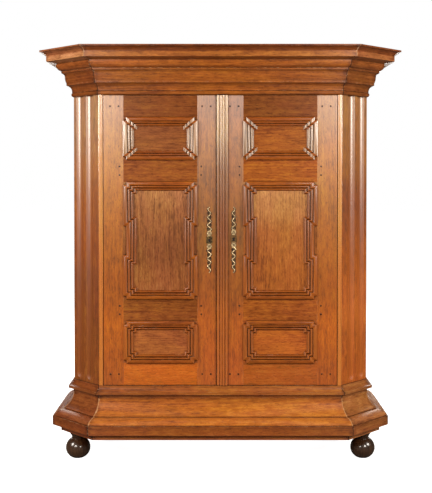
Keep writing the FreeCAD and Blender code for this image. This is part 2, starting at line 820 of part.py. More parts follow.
cornice_frame.append(back_rail("cornice_frame_back", "-wall", CORNICE_FRAME_Z,
                               CORNICE_FRAME_HEIGHT, "wall"))
node("cornice_frame", group("cornice_frame", cornice_frame))
top_plan = [plan_corner(c, "corona_back") for c in ("back", "cant", "front")]
node("cornice_top", prism("cornice_top", outline(
    "cornice_top_plan", top_plan + [flip(c) for c in reversed(top_plan)], z=CORNICE_TOP_Z), "board"))


# ---------------------------------------------------------------- doors

def span(sign, inner, outer):
    """The low X and the length of a stretch between two distances from the middle."""
    low = inner if sign > 0 else f"-({outer})"
    return low, minus(outer, inner)


RAIL_BOTTOMS = {
    "bottom_rail": DOOR_BOTTOM,
    "lower_rail": total(DOOR_BOTTOM, "rail_height + small_panel_height"),
    "upper_rail": minus(DOOR_TOP, "2 * rail_height + small_panel_height"),
    "top_rail": minus(DOOR_TOP, "rail_height"),
}
PANEL_SPANS = {
    "lower": (total(DOOR_BOTTOM, "rail_height"), RAIL_BOTTOMS["lower_rail"]),
    "centre": (total(RAIL_BOTTOMS["lower_rail"], "rail_height"), RAIL_BOTTOMS["upper_rail"]),
    "upper": (total(RAIL_BOTTOMS["upper_rail"], "rail_height"), RAIL_BOTTOMS["top_rail"]),
}
COLUMN_INNER = "panel_column_inner"
COLUMN_OUTER = minus(DOOR_EDGE, "hinge_stile_width")
COLUMN_MIDDLE = f"(({COLUMN_INNER} + {COLUMN_OUTER}) / 2)"
# the joints of the frame lie under the mouldings, a lap inside their outer edges
JOINT_INNER = total(COLUMN_INNER, "panel_lap")
JOINT_OUTER = minus(COLUMN_OUTER, "panel_lap")
TENON_Y = total(FRONT_Y, "door_thickness / 2 - tenon_thickness / 2")


def rail_span(rail):
    """A rail's real lower edge and height, with the laps under the mouldings."""
    bottom = RAIL_BOTTOMS[rail]
    lap_below = "0" if rail == "bottom_rail" else "panel_lap"
    lap_above = "0" if rail == "top_rail" else "panel_lap"
    return minus(bottom, lap_below), f"(rail_height + {lap_below} + {lap_above})"


def rail_block(name, sign, rail, grow="0"):
    """A rail's tenons as one bar through its length, or with growth their mortises."""
    bottom, height = rail_span(rail)
    x, length = span(sign, minus(JOINT_INNER, f"tenon_length + ({grow})"),
                     total(JOINT_OUTER, f"tenon_length + ({grow})"))
    return block(name, x, minus(TENON_Y, grow), total(bottom, f"tenon_shoulder - ({grow})"), length,
                 f"tenon_thickness + 2 * ({grow})", f"{height} - 2 * tenon_shoulder + 2 * ({grow})")


def panel_blocks(name, sign, panel, grow="0"):
    """A panel's tongue slab, or with growth the groove for it."""
    bottom, top = PANEL_SPANS[panel]
    edge = f"(tongue_length + ({grow}))"
    x, length = span(sign, minus(JOINT_INNER, edge), total(JOINT_OUTER, edge))
    low, high = total(bottom, f"panel_lap - {edge}"), minus(top, f"panel_lap - {edge}")
    return block(name, x, total(FRONT_Y, f"tongue_setback - ({grow}) / 2"), low, length,
                 f"tongue_thickness + ({grow})", minus(high, low))


def peg_places(side, sign):
    """Where the pegs pin each tenon: side by side on the outer rails, stacked on the middle ones."""
    for rail in RAIL_BOTTOMS:
        middle = total(RAIL_BOTTOMS[rail], "rail_height / 2")
        for stile, joint, away in (("hinge", JOINT_OUTER, "+"), ("meeting", JOINT_INNER, "-")):
            for n, shift in enumerate(("-0.5", "0.5")):
                if rail in ("top_rail", "bottom_rail"):
                    x, z = f"{joint} {away} (peg_pair_edge + {shift} * peg_spread)", middle
                else:
                    x, z = f"{joint} {away} peg_edge", f"{middle} + {shift} * peg_spread"
                yield f"{side}_{rail}_{stile}_peg_{n}", f"{sign} * ({x})", z


def peg(name, x, z, proud, grow):
    """A square oak peg, set cornerwise and driven in from the front, or with growth its hole."""
    return bar(name, PEG_SIDES, x, minus(FRONT_Y, proud), z, f"peg_radius + {grow}",
               f"peg_length + {proud} + {grow}")


def hinge_stile_plan(sign):
    """The hinge stile in plan, with its outer front arris rounded to clear the post."""
    rounded = [
        (JOINT_OUTER, FRONT_Y),
        (minus(DOOR_EDGE, "edge_round"), FRONT_Y, sign * -1, "edge_round"),
        (DOOR_EDGE, total(FRONT_Y, "edge_round")),
        (DOOR_EDGE, DOOR_BACK),
        (JOINT_OUTER, DOOR_BACK),
    ]
    return rounded if sign > 0 else [(f"-({c[0]})", *c[1:]) for c in rounded]


def moulding_frame(name, sign, panel, stepped):
    """A mitred moulding round a panel, with square returns at its corners and stepped sides."""
    bottom, top = PANEL_SPANS[panel]
    middle_x, middle_z = f"{sign} * {COLUMN_MIDDLE}", f"(({bottom} + {top}) / 2)"
    half_x = f"(({COLUMN_OUTER} - {COLUMN_INNER}) / 2)"
    half_z = f"(({top} - ({bottom})) / 2)"
    notch_x, notch_z = minus(half_x, "corner_notch"), minus(half_z, "corner_notch")
    quarter = [(half_x, notch_z), (notch_x, notch_z), (notch_x, half_z)]
    if stepped:
        step_x, step_z = minus(half_x, "side_step"), "side_step_height / 2"
        quarter = [(step_x, step_z), (half_x, step_z)] + quarter
    flips = ((1, 1, 1), (-1, 1, -1), (-1, -1, 1), (1, -1, -1))
    corners = []
    for flip_x, flip_z, order in flips:
        corners += [(f"{flip_x} * ({u})", f"{flip_z} * ({v})") for u, v in quarter[::order]]
    corners.append((step_x if stepped else half_x, "0"))
    path = outline(f"{name}_path", corners[-1:] + corners[:-1], "front",
                   x=middle_x, y=FRONT_Y, z=middle_z)

    # across the moulding: a crowned band, a quirk, a reed, a step and a hollow down to the lip
    outer = step_x if stepped else half_x
    edge, band, quirk, reed, high, low, lip, width = (f"frame_moulding_{part}" for part in (
        "edge", "band", "quirk", "reed", "height", "quirk_height", "inner_height", "width"))
    band_end, reed_start = total(edge, f"{band}_rise"), f"({band} + {quirk})"
    reed_end, step_end = total(reed_start, reed), minus(high, "frame_moulding_step")
    profile = [
        ("0", "0"),
        *rounded(("0", edge), (band, band_end), ("0", f"{band}_crown"), BAND_FACETS),
        (band, band_end),
        (total(band, f"{quirk}_slant"), low),
        *rounded((reed_start, low), (reed_end, high), ("0", f"{reed}_crown"), REED_FACETS),
        (reed_end, high),
        *rounded((reed_end, step_end), (width, lip), ("0", "-frame_moulding_hollow"),
                 HOLLOW_FACETS),
        (width, lip),
        (width, "0"),
    ]
    section = outline(f"{name}_section", [(f"{outer} - ({u})", f"-({v})") for u, v in profile],
                      "plan", x=middle_x, y=FRONT_Y, z=middle_z)
    frame = doc.addObject("Part::Sweep", name)
    frame.Sections = [section]
    frame.Spine = (path, [])
    frame.Transition = "Right corner"
    frame.Solid = True
    frame.Frenet = False
    return frame


def escutcheon(name, x):
    """A tall pierced lock plate: scrolls that taper up and down a stem, round a keyhole's plate."""
    plate_face, cutter_face = minus(FRONT_Y, "escutcheon_plate"), minus(FRONT_Y, "2 * escutcheon_plate")
    solids = [
        block(f"{name}_{part}", minus(x, f"{width} / 2"), plate_face, minus(LOCK_Z, f"{height} / 2"),
              width, "escutcheon_plate", height)
        for part, width, height in (("plate", "keyhole_plate_width", "keyhole_plate_height"),
                                    ("stem", "escutcheon_stem", "escutcheon_height"))]
    holes = [
        rod(f"{name}_eye", x, cutter_face, LOCK_Z, "keyhole_radius", "3 * escutcheon_plate",
            Vector(0, 1, 0)),
        block(f"{name}_slot", minus(x, "keyhole_slot_width / 2"), cutter_face,
              minus(LOCK_Z, "keyhole_slot_length"), "keyhole_slot_width", "3 * escutcheon_plate",
              "keyhole_slot_length"),
    ]
    pitch = "((escutcheon_height - keyhole_plate_height) / (2 * scroll_count))"
    for end in (1, -1):
        for n in range(int(SIZES["scroll_count"])):
            across = total(x, f"{end * (-1) ** n} * scroll_sway")
            up = total(LOCK_Z, f"{end} * (keyhole_plate_height / 2 + ({n} + 0.5) * {pitch})")
            radius = f"(scroll_radius - {n} * scroll_taper)"
            solids.append(bar(f"{name}_scroll_{len(solids)}", SCROLL_SIDES, across, plate_face, up,
                              radius, "escutcheon_plate"))
            holes.append(bar(f"{name}_piercing_{len(holes)}", PIERCING_SIDES, across, cutter_face, up,
                             minus(radius, "scroll_wall"), "3 * escutcheon_plate"))
    return cut(name, fused(f"{name}_blank", solids), holes)


def door(side, sign, meeting_edge):
    """One framed door: stiles, tenoned rails, grooved panels, mouldings and pegs."""
    mortises = [rail_block(f"{side}_{rail}_mortise", sign, rail, "fit") for rail in RAIL_BOTTOMS]
    grooves = [panel_blocks(f"{side}_{panel}_groove", sign, panel, "fit") for panel in PANEL_SPANS]
    pegs, peg_holes = [], []
    for name, x, z in peg_places(side, sign):
        pegs.append(peg(name, x, z, "peg_proud", "0"))
        peg_holes.append(peg(f"{name}_hole", x, z, "peg_proud", "fit"))
    bores = [rod(f"{side}_{end}_bore", f"{sign} * {PIN_X}", PIN_Y, start,
                 "pin_radius + pin_clearance", "pin_reach")
             for end, start in (("bottom", DOOR_BOTTOM), ("top", minus(DOOR_TOP, "pin_reach")))]
    hinge_blank = prism(f"{side}_hinge_stile_blank",
                        outline(f"{side}_hinge_stile_plan", hinge_stile_plan(sign), z=DOOR_BOTTOM),
                        DOOR_HEIGHT)
    node(f"{side}_hinge_stile", cut(f"{side}_hinge_stile", hinge_blank,
                                    mortises + grooves + peg_holes + bores))
    x, length = span(sign, meeting_edge, JOINT_INNER)
    meeting_blank = block(f"{side}_meeting_stile_blank", x, FRONT_Y, DOOR_BOTTOM, length,
                          "door_thickness", DOOR_HEIGHT)
    node(f"{side}_meeting_stile", cut(f"{side}_meeting_stile", meeting_blank,
                                      mortises + grooves + peg_holes))
    x, length = span(sign, JOINT_INNER, JOINT_OUTER)
    for rail in RAIL_BOTTOMS:
        bottom, height = rail_span(rail)
        body = block(f"{side}_{rail}_body", x, FRONT_Y, bottom, length, "door_thickness", height)
        tenons = rail_block(f"{side}_{rail}_tenons", sign, rail)
        node(f"{side}_{rail}", cut(f"{side}_{rail}", fused(f"{side}_{rail}_blank", [body, tenons]),
                                   grooves + peg_holes))
    panels = {}
    for panel, (bottom, top) in PANEL_SPANS.items():
        x, length = span(sign, total(JOINT_INNER, "fit"), minus(JOINT_OUTER, "fit"))
        low, high = total(bottom, "panel_lap + fit"), minus(top, "panel_lap + fit")
        field = block(f"{side}_{panel}_field", x, FRONT_Y, low, length, "panel_thickness",
                      minus(high, low))
        panels[panel] = fused(f"{side}_{panel}_panel",
                              [field, panel_blocks(f"{side}_{panel}_tongue", sign, panel)])
    node(f"{side}_centre_panel", panels["centre"])
    node(f"{side}_small_panels", group(f"{side}_small_panels", [panels["upper"], panels["lower"]]))
    node(f"{side}_centre_moulding",
         moulding_frame(f"{side}_centre_moulding", sign, "centre", True))
    node(f"{side}_small_mouldings", group(f"{side}_small_mouldings", [
        moulding_frame(f"{side}_{panel}_moulding", sign, panel, False)
        for panel in ("upper", "lower")]))
    node(f"{side}_pegs", group(f"{side}_pegs", pegs))


LEFT_MEETING = "(meeting_offset + meeting_gap / 2)"
RIGHT_MEETING = "(-meeting_offset + meeting_gap / 2)"
door("left", -1, LEFT_MEETING)
door("right", 1, RIGHT_MEETING)
node("left_escutcheon", escutcheon("left_escutcheon", "(-left_escutcheon_offset)"))
node("right_escutcheon", escutcheon("right_escutcheon", "right_escutcheon_offset"))

# the reeded strip on the right door's meeting edge
ASTRAGAL_MIDDLE = total(RIGHT_MEETING, "astragal_width / 2")
ASTRAGAL_HALF, ASTRAGAL_SHOULDER = "astragal_width / 2", "(astragal_width / 2 - astragal_margin)"
ASTRAGAL_HOLLOW = bowed(minus(ASTRAGAL_SHOULDER, "astragal_reed / 2"),
                        "astragal_root - astragal_edge", "astragal_hollow")
astragal_section = [
    (ASTRAGAL_HALF, "0"),
    (ASTRAGAL_HALF, "astragal_edge"),
    (ASTRAGAL_SHOULDER, "astragal_edge", -1, ASTRAGAL_HOLLOW),
    ("astragal_reed / 2", "astragal_root", 1, bowed("astragal_reed", "0", "astragal_reed_rise")),
    ("-astragal_reed / 2", "astragal_root", -1, ASTRAGAL_HOLLOW),
    (f"-{ASTRAGAL_SHOULDER}", "astragal_edge"),
    (f"-{ASTRAGAL_HALF}", "astragal_edge"),
    (f"-{ASTRAGAL_HALF}", "0"),
]
node("astragal", prism("astragal", outline(
    "astragal_plan", [(u, f"-({v})", *arc) for u, v, *arc in astragal_section],
    x=ASTRAGAL_MIDDLE, y=FRONT_Y, z=DOOR_BOTTOM), DOOR_HEIGHT))


# ---------------------------------------------------------------- hinges and stops

def hinge_pin(name, sign, end):
    """A fixed pin with a square collar that carries the door clear of the board."""
    x = f"{sign} * {PIN_X}"
    if end == "bottom":
        shaft_z, collar_z = minus(FLOOR_Z, "pin_reach"), FLOOR_Z
    else:
        shaft_z = minus(DOOR_TOP, "pin_reach - pin_end_clearance")
        collar_z = total(DOOR_TOP, "pin_collar_clearance")
    shaft = rod(f"{name}_shaft", x, PIN_Y, shaft_z, "pin_radius",
                "2 * pin_reach + door_gap - pin_end_clearance")
    collar = block(f"{name}_collar", minus(x, "pin_collar_half"), minus(PIN_Y, "pin_collar_half"),
                   collar_z, "2 * pin_collar_half", "2 * pin_collar_half",
                   "door_gap - pin_collar_clearance")
    return fused(name, [shaft, collar])


node("hinge_pins", group("hinge_pins", [
    hinge_pin(f"{side}_{end}_pin", sign, end)
    for side, sign in (("left", -1), ("right", 1)) for end in ("bottom", "top")]))

STOP_Y = total(DOOR_BACK, "stop_clearance")
stops = group("right_door_stops", [
    block(f"{end}_door_stop", "stop_inner", STOP_Y, z, "stop_outer - stop_inner", "stop_section",
          "stop_section")
    for end, z in (("bottom", FLOOR_Z), ("top", minus(LINTEL_Z, "stop_section")))])
node("door_stops", group("door_stops", [stops, mirrored("left_door_stops", stops)]))


# ---------------------------------------------------------------- lock and bolts

LOCK_X = total(RIGHT_MEETING, "lock_case_edge")
BOLT_Y = total(DOOR_BACK, "lock_bolt_setback")
BOLT_Z = minus(LOCK_Z, "lock_bolt_height / 2")
lock_body = block("lock_case_blank", LOCK_X, DOOR_BACK, minus(LOCK_Z, "lock_case_height / 2"),
                  "lock_case_width", "lock_case_depth", "lock_case_height")
bolt_way = block("lock_bolt_way", LOCK_X, minus(BOLT_Y, "slide_clearance"),
                 minus(BOLT_Z, "slide_clearance"), "lock_bolt_length + slide_clearance",
                 "lock_bolt_thickness + 2 * slide_clearance",
                 "lock_bolt_height + 2 * slide_clearance")
node("lock_case", cut("lock_case", lock_body, [bolt_way]))
node("lock_bolt", block("lock_bolt", LOCK_X, BOLT_Y, BOLT_Z, "lock_bolt_length",
                        "lock_bolt_thickness", "lock_bolt_height"))

KEEPER_WIDTH = "(lock_bolt_travel - lock_case_edge - meeting_gap - keeper_edge + keeper_spare)"
KEEPER_X = f"(-{LEFT_MEETING} - keeper_edge - {KEEPER_WIDTH})"
KEEPER_Z = minus(BOLT_Z, "keeper_post + keeper_clearance")
KEEPER_INSIDE = "(lock_bolt_setback + lock_bolt_thickness + keeper_clearance)"
keeper_posts = [
    block(f"keeper_post_{n}", KEEPER_X, DOOR_BACK, z, KEEPER_WIDTH, KEEPER_INSIDE, "keeper_post")
    for n, z in enumerate((KEEPER_Z, total(BOLT_Z, "lock_bolt_height + keeper_clearance")))]
keeper_strap = block("keeper_strap_plate", KEEPER_X, total(DOOR_BACK, KEEPER_INSIDE), KEEPER_Z,
                     KEEPER_WIDTH, "keeper_strap",
                     "lock_bolt_height + 2 * keeper_clearance + 2 * keeper_post")
node("lock_keeper", fused("lock_keeper", keeper_posts + [keeper_strap]))


def shoot_bolt(name, bottom, knob_z):
    """A flat bar with a round knob, sliding up or down behind the left door."""
    bar = block(f"{name}_bar", f"{SHOOT_X} - shoot_bolt_width / 2", SHOOT_Y, bottom,
                "shoot_bolt_width", "shoot_bolt_thickness", "shoot_bolt_length")
    knob = rod(f"{name}_knob", SHOOT_X, SHOOT_Y, knob_z, "shoot_bolt_knob_radius",
               "shoot_bolt_thickness + shoot_bolt_knob_length", Vector(0, 1, 0))
    return node(name, fused(name, [bar, knob]))


def bolt_guide(name, bottom):
    """A staple over a shoot bolt, fixed to the door's back."""
    inside = "(shoot_bolt_width / 2 + slide_clearance)"
    depth = "(2 * slide_clearance + shoot_bolt_thickness)"
    body = block(f"{name}_blank", f"{SHOOT_X} - {inside} - guide_post", DOOR_BACK, bottom,
                 f"2 * ({inside} + guide_post)", f"{depth} + guide_strap", "guide_height")
    way = block(f"{name}_way", f"{SHOOT_X} - {inside}", DOOR_BACK, bottom, f"2 * {inside}", depth,
                "guide_height")
    return cut(name, body, [way])


UPPER_BOLT_Z = minus(DOOR_TOP, "shoot_bolt_length")
shoot_bolt("upper_bolt", UPPER_BOLT_Z, total(UPPER_BOLT_Z, "shoot_bolt_length / 2"))
shoot_bolt("lower_bolt", DOOR_BOTTOM, total(DOOR_BOTTOM, "shoot_bolt_length / 2"))
guide_bottoms = []
for start in (UPPER_BOLT_Z, DOOR_BOTTOM):
    guide_bottoms.append(total(start, "guide_inset"))
    guide_bottoms.append(total(start, "shoot_bolt_length - guide_inset - guide_height"))
node("bolt_guides", group("bolt_guides", [
    bolt_guide(f"bolt_guide_{n}", bottom) for n, bottom in enumerate(guide_bottoms)]))


# ---------------------------------------------------------------- check and export

doc.recompute()
failed = [o.Name for o in doc.Objects if {"Invalid", "Error"} & set(o.State)]
if failed:
    raise RuntimeError(f"objects failed to compute: {failed}")
for name, solid in nodes.items():
    if solid.Shape.isNull() or not solid.Shape.isValid() or not solid.Shape.Solids:
        raise RuntimeError(f"{name} has no valid solid")

os.makedirs("parts", exist_ok=True)
for name, solid in nodes.items():
    solid.Shape.exportStep(f"parts/{name}.step")
print(f"{len(nodes)} sub-parts written")
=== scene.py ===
# %% [markdown]
# # A kas cupboard, dressed
# A kas is a tall two-door cupboard that stands on ball feet under a deep cornice. Its pieces come
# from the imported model, so every board is already where it belongs. This lesson gives the boards
# their wood, turns the feet, saws the brass scrollwork and lights the whole as in a plain studio.

# %% Load the cupboard
import math
import random

import bmesh
import bpy
from mathutils import Matrix, Vector


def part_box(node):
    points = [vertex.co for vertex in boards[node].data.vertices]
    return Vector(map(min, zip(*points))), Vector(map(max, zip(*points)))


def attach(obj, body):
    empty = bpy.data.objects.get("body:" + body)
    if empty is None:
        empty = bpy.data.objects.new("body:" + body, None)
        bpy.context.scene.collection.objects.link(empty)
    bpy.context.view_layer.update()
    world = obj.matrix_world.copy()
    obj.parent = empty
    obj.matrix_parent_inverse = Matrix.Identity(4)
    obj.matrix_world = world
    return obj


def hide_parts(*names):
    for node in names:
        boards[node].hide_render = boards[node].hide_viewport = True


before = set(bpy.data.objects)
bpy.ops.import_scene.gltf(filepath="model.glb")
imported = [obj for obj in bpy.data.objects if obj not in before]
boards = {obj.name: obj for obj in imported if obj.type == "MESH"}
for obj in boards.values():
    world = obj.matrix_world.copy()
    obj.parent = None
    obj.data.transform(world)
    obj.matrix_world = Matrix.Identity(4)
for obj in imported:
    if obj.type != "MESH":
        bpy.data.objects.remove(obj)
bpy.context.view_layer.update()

# %% [markdown]
# ## The view
# Tall furniture is seen from eye level and some way off. A long lens keeps the cornice from
# looming, and a small downward shift, as a view camera gives, keeps the posts nearly upright while
# the feet stay in the frame.

# %% Camera
EYE_HEIGHT = 1.524
EYE_DISTANCE = 4.947
LENS = 67.12
LOOK_DOWN = 0.975
DOWNWARD_SHIFT = -0.12
SIDE_SHIFT = -0.0088


def bring_in(name, data):
    """Make an object of a camera, a lamp or a mesh, and put it in the scene."""
    thing = bpy.data.objects.new(name, data)
    bpy.context.collection.objects.link(thing)
    return thing


camera = bring_in("eye", bpy.data.cameras.new("eye"))
camera.location = (0, -EYE_DISTANCE, EYE_HEIGHT)
camera.rotation_euler = (math.radians(90 - LOOK_DOWN), 0, 0)
camera.data.lens = LENS
camera.data.shift_x = SIDE_SHIFT
camera.data.shift_y = DOWNWARD_SHIFT
bpy.context.scene.camera = camera
bpy.context.scene.view_settings.view_transform = "Standard"
print("lens", camera.data.lens, "mm at", round(EYE_DISTANCE, 2), "m")

# %% [markdown]
# ## Small helpers for the finishes
# A finish is a tree of shader nodes. Writing each node by hand takes many lines, so these helpers
# place a node, set it and join its inputs in one line. A colour is written as on a paint card and
# turned into the linear light that the renderer wants.

# %% Helpers for node trees
def feed(tree, node, inputs):
    """Give each input a number, a colour or another node's output, and return the node."""
    for name, value in inputs.items():
        if isinstance(value, bpy.types.NodeSocket):
            tree.links.new(value, node.inputs[name])
        else:
            node.inputs[name].default_value = value
    return node


def add(tree, kind, inputs=None, **settings):
    """Place a node, set its settings and feed its inputs."""
    node = tree.nodes.new("ShaderNode" + kind)
    for name, value in settings.items():
        setattr(node, name, value)
    return feed(tree, node, inputs or {})


def calc(tree, operation, *values):
    """The result of a Math node."""
    return add(tree, "Math", dict(enumerate(values)), operation=operation).outputs[0]


def arrow(tree, operation, *values):
    """The result of a Vector Math node, a number for a dot product or a length."""
    node = add(tree, "VectorMath", dict(enumerate(values)), operation=operation)
    return node.outputs["Value" if operation in ("DOT_PRODUCT", "LENGTH") else "Vector"]


def vector(tree, *parts):
    """A vector from its X, Y and Z, of which the last ones may be left at 0."""
    return add(tree, "CombineXYZ", dict(enumerate(parts))).outputs[0]


def split(tree, whole):
    """The X, Y and Z of a vector."""
    return add(tree, "SeparateXYZ", {0: whole}).outputs


def fade(tree, value, start, end, low=0.0, high=1.0):
    """A soft step: low before start, high after end."""
    return add(tree, "MapRange", {0: value, 1: start, 2: end, 3: low, 4: high},
               interpolation_type="SMOOTHSTEP").outputs[0]


def noise(tree, place, scale, detail, rough=0.5):
    """The grey of a noise texture."""
    return add(tree, "TexNoise", {"Vector": place, "Scale": scale, "Detail": detail,
                                  "Roughness": rough}).outputs["Fac"]


def blend(tree, amount, first, second, mode="MIX"):
    """Two colours mixed by the amount."""
    return add(tree, "Mix", {0: amount, 6: first, 7: second}, data_type="RGBA",
               blend_type=mode).outputs[2]


def blend_arrows(tree, amount, first, second):
    """Two vectors mixed by the amount."""
    return add(tree, "Mix", {0: amount, 4: first, 5: second}, data_type="VECTOR").outputs[1]


def paint(card):
    """The linear colour of a paint card such as 8a4b22."""
    values = [int(card[i:i + 2], 16) / 255 for i in (0, 2, 4)]
    return [v / 12.92 if v <= 0.04045 else ((v + 0.055) / 1.055) ** 2.4 for v in values] + [1]


print("paint card 8a4b22 is", [round(v, 3) for v in paint("8a4b22")])

# %% Helpers for groups and materials
def new_group(name, inputs, outputs):
    """An empty shader group with its sockets, and the sockets to read from and to feed."""
    group = bpy.data.node_groups.new(name, "ShaderNodeTree")
    for way, labels in (("INPUT", inputs), ("OUTPUT", outputs)):
        for label in labels:
            kind = "NodeSocketVector" if label in ("Place", "Rounded") else "NodeSocketFloat"
            group.interface.new_socket(label, in_out=way, socket_type=kind)
    given = group.nodes.new("NodeGroupInput").outputs
    made = group.nodes.new("NodeGroupOutput").inputs
    return group, given, made


def give(group, made, **results):
    """Feed the outputs of a group, whose names have a space for each _, and return the group."""
    for name, value in results.items():
        group.links.new(value, made[name.replace("_", " ")])
    print("group", group.name, "has", len(group.nodes), "nodes")
    return group


def use(tree, group, **inputs):
    """A group placed in a material with its own values."""
    values = {name.replace("_", " "): value for name, value in inputs.items()}
    return add(tree, "Group", values, node_tree=group).outputs


def new_material(name):
    """A material, its node tree and its shader."""
    material = bpy.data.materials.new(name)
    material.use_nodes = True
    return material, material.node_tree, material.node_tree.nodes["Principled BSDF"]


print("helpers for groups and materials")

# %% [markdown]
# ## Which way the grain runs
# Every board's grain runs along its length: up the stiles and posts, along the rails and round the
# mouldings. The run of a moulding is level and lies square to the way its face looks, so it can be
# worked out from the face alone, for the front, the cants and the sides at once.

# %% Group: grain direction
tree, given, made = new_group("Grain direction", ["Upright"],
                              ["Place", "Turned left", "Turned right", "Height"])
spot = add(tree, "TexCoord").outputs
level = arrow(tree, "MULTIPLY", spot["Normal"], (1, 1, 0))
lying = calc(tree, "LESS_THAN", arrow(tree, "LENGTH", level), 0.05)
facing = blend_arrows(tree, lying, arrow(tree, "NORMALIZE", level), (0, -1, 0))
run = arrow(tree, "CROSS_PRODUCT", (0, 0, 1), facing)
along = arrow(tree, "DOT_PRODUCT", spot["Object"], run)
deep = arrow(tree, "DOT_PRODUCT", spot["Object"], facing)
height = split(tree, spot["Object"])["Z"]
place = blend_arrows(tree, given["Upright"], vector(tree, along, height, deep),
                     vector(tree, height, along, deep))
sideways = split(tree, facing)
turned = fade(tree, calc(tree, "ADD", 1, sideways["Y"]), 0.05, 0.28)
looks_left = calc(tree, "LESS_THAN", sideways["X"], 0)
looks_right = calc(tree, "SUBTRACT", 1, looks_left)
grain_frame = give(tree, made, Place=place, Height=height,
                   Turned_left=calc(tree, "MULTIPLY", turned, looks_left),
                   Turned_right=calc(tree, "MULTIPLY", turned, looks_right))

# %% [markdown]
# ## The figure of walnut
# A board shows the tree's rings cut lengthwise, so they become long wavy bands, with fine streaks
# between them and short dark pores. Here the rings are a ring pattern about a far axis, bent by
# noise, and the streaks, pores and flecks are noise drawn out along the grain. Clouds of darker and
# of more golden wood cross the boards on a larger scale.

# %% Group: wood figure
RING_WIDTH = 0.012
RING_SCALE = 0.314 / RING_WIDTH
SEED_STEPS = (3.71, 1.37, 0.93)
PORE_DEPTH = 0.00012
STREAK_DEPTH = 0.00025


def drawn_noise(tree, place, along, across, detail, rough=0.5):
    """Noise drawn out along the grain: so many spots to a metre along it, and so many across."""
    return noise(tree, arrow(tree, "MULTIPLY", place, (along, across, across)), 1, detail, rough)


tree, given, made = new_group("Wood figure", ["Place", "Seed"],
                              ["Tone", "Cloud", "Pores", "Flecks", "Height"])
shift = vector(tree, *[calc(tree, "MULTIPLY", given["Seed"], step) for step in SEED_STEPS])
place = arrow(tree, "ADD", given["Place"], shift)
drawn = arrow(tree, "MULTIPLY", place, (0.09, 1, 1))
bend = noise(tree, drawn, 7, 2)
wobble = vector(tree, 0, calc(tree, "MULTIPLY", bend, 0.11), calc(tree, "MULTIPLY", bend, 0.07))
rings = add(tree, "TexWave", {"Vector": arrow(tree, "ADD", drawn, wobble), "Scale": RING_SCALE,
                              "Distortion": 4.0, "Detail": 2, "Detail Scale": 2.2},
            wave_type="RINGS", rings_direction="X", wave_profile="SIN").outputs["Fac"]
streaks = drawn_noise(tree, place, 4.5, 85, 3, 0.6)
fine = drawn_noise(tree, place, 34, 330, 2)
pores = fade(tree, drawn_noise(tree, place, 55, 900, 1), 0.60, 0.72)
flecks = fade(tree, drawn_noise(tree, place, 75, 210, 1), 0.60, 0.72)
blotch = drawn_noise(tree, place, 17, 38, 3, 0.6)
shadow = drawn_noise(tree, place, 1.7, 5, 3, 0.55)
cloud = fade(tree, drawn_noise(tree, place, 3, 9, 3, 0.6), 0.36, 0.64)
tone = calc(tree, "MULTIPLY", rings, 0.06)
for part, share in ((streaks, 0.20), (fine, 0.34), (blotch, 0.34), (shadow, 0.26)):
    tone = calc(tree, "MULTIPLY_ADD", part, share, tone)
relief = calc(tree, "MULTIPLY", pores, -PORE_DEPTH)
relief = calc(tree, "MULTIPLY_ADD", streaks, STREAK_DEPTH, relief)
figure = give(tree, made, Tone=fade(tree, tone, 0.42, 0.78), Cloud=cloud, Pores=pores,
              Flecks=flecks, Height=relief)

# %% [markdown]
# ## Use, age and painted light
# Two centuries of dusting wear the polish off the arrises, and wax and dirt gather where two faces
# meet. The arris group compares the true face with one whose edges are rounded: where they differ
# there is an edge, broken up by noise, which is painted pale for wear and for the highlight on it.
# The recess group asks how much of the room a spot sees, and its darkening stands for dirt and for
# painted shade in the corners.

# %% Groups: worn and lit arrises, and recesses
# Arrises are painted pale, for wear and for the highlight they catch.
tree, given, made = new_group("Edge wear", ["Width", "Amount"], ["Worn", "Rounded"])
rounded = add(tree, "Bevel", {"Radius": given["Width"]}, samples=6).outputs[0]
true_face = add(tree, "NewGeometry").outputs["Normal"]
turned = calc(tree, "SUBTRACT", 1, arrow(tree, "DOT_PRODUCT", rounded, true_face))
patches = noise(tree, add(tree, "TexCoord").outputs["Object"], 38, 4, 0.7)
worn = calc(tree, "MULTIPLY", fade(tree, turned, 0.01, 0.12), fade(tree, patches, 0.48, 0.66))
edge_wear = give(tree, made, Worn=calc(tree, "MULTIPLY", worn, given["Amount"]),
                 Rounded=rounded)

# The recess mask darkens where faces meet: dirt there, and painted shade.
tree, given, made = new_group("Corner dirt", ["Reach"], ["Dirt"])
open_air = add(tree, "AmbientOcclusion", {"Distance": given["Reach"]}, samples=8,
               only_local=False).outputs["AO"]
dirt = give(tree, made, Dirt=fade(tree, open_air, 0.92, 0.42))

# %% [markdown]
# ## The mitres
# The five lengths of each moulding meet in mitres at the cants. Old glue and dust draw a thin dark
# line there, and the sharp arris beside it has lost chips that show the pale wood. Every mitre lies
# in an upright plane that halves the angle between two faces of the case, so its distance from a
# spot is a sum of the spot's two level coordinates. The two sides are alike, so X is folded over.

# %% Corners of the case
post_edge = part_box("right_front_post")[1].x
case_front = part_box("right_corner_board")[0].y
case_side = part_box("right_corner_board")[1].x
side_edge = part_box("right_side_frame")[0].y
front_corner = (post_edge, case_front, 0)
side_corner = (case_side, side_edge, 0)
print("corners", [tuple(round(v, 3) for v in corner) for corner in (front_corner, side_corner)])

# %% Group: mitre lines
HALF_TURN = math.radians(22.5)
LINE_EDGES = (0.0012, 0.0034)
CHIP_EDGES = (0.0015, 0.0065)
SMUDGE_EDGES = (0.002, 0.032)

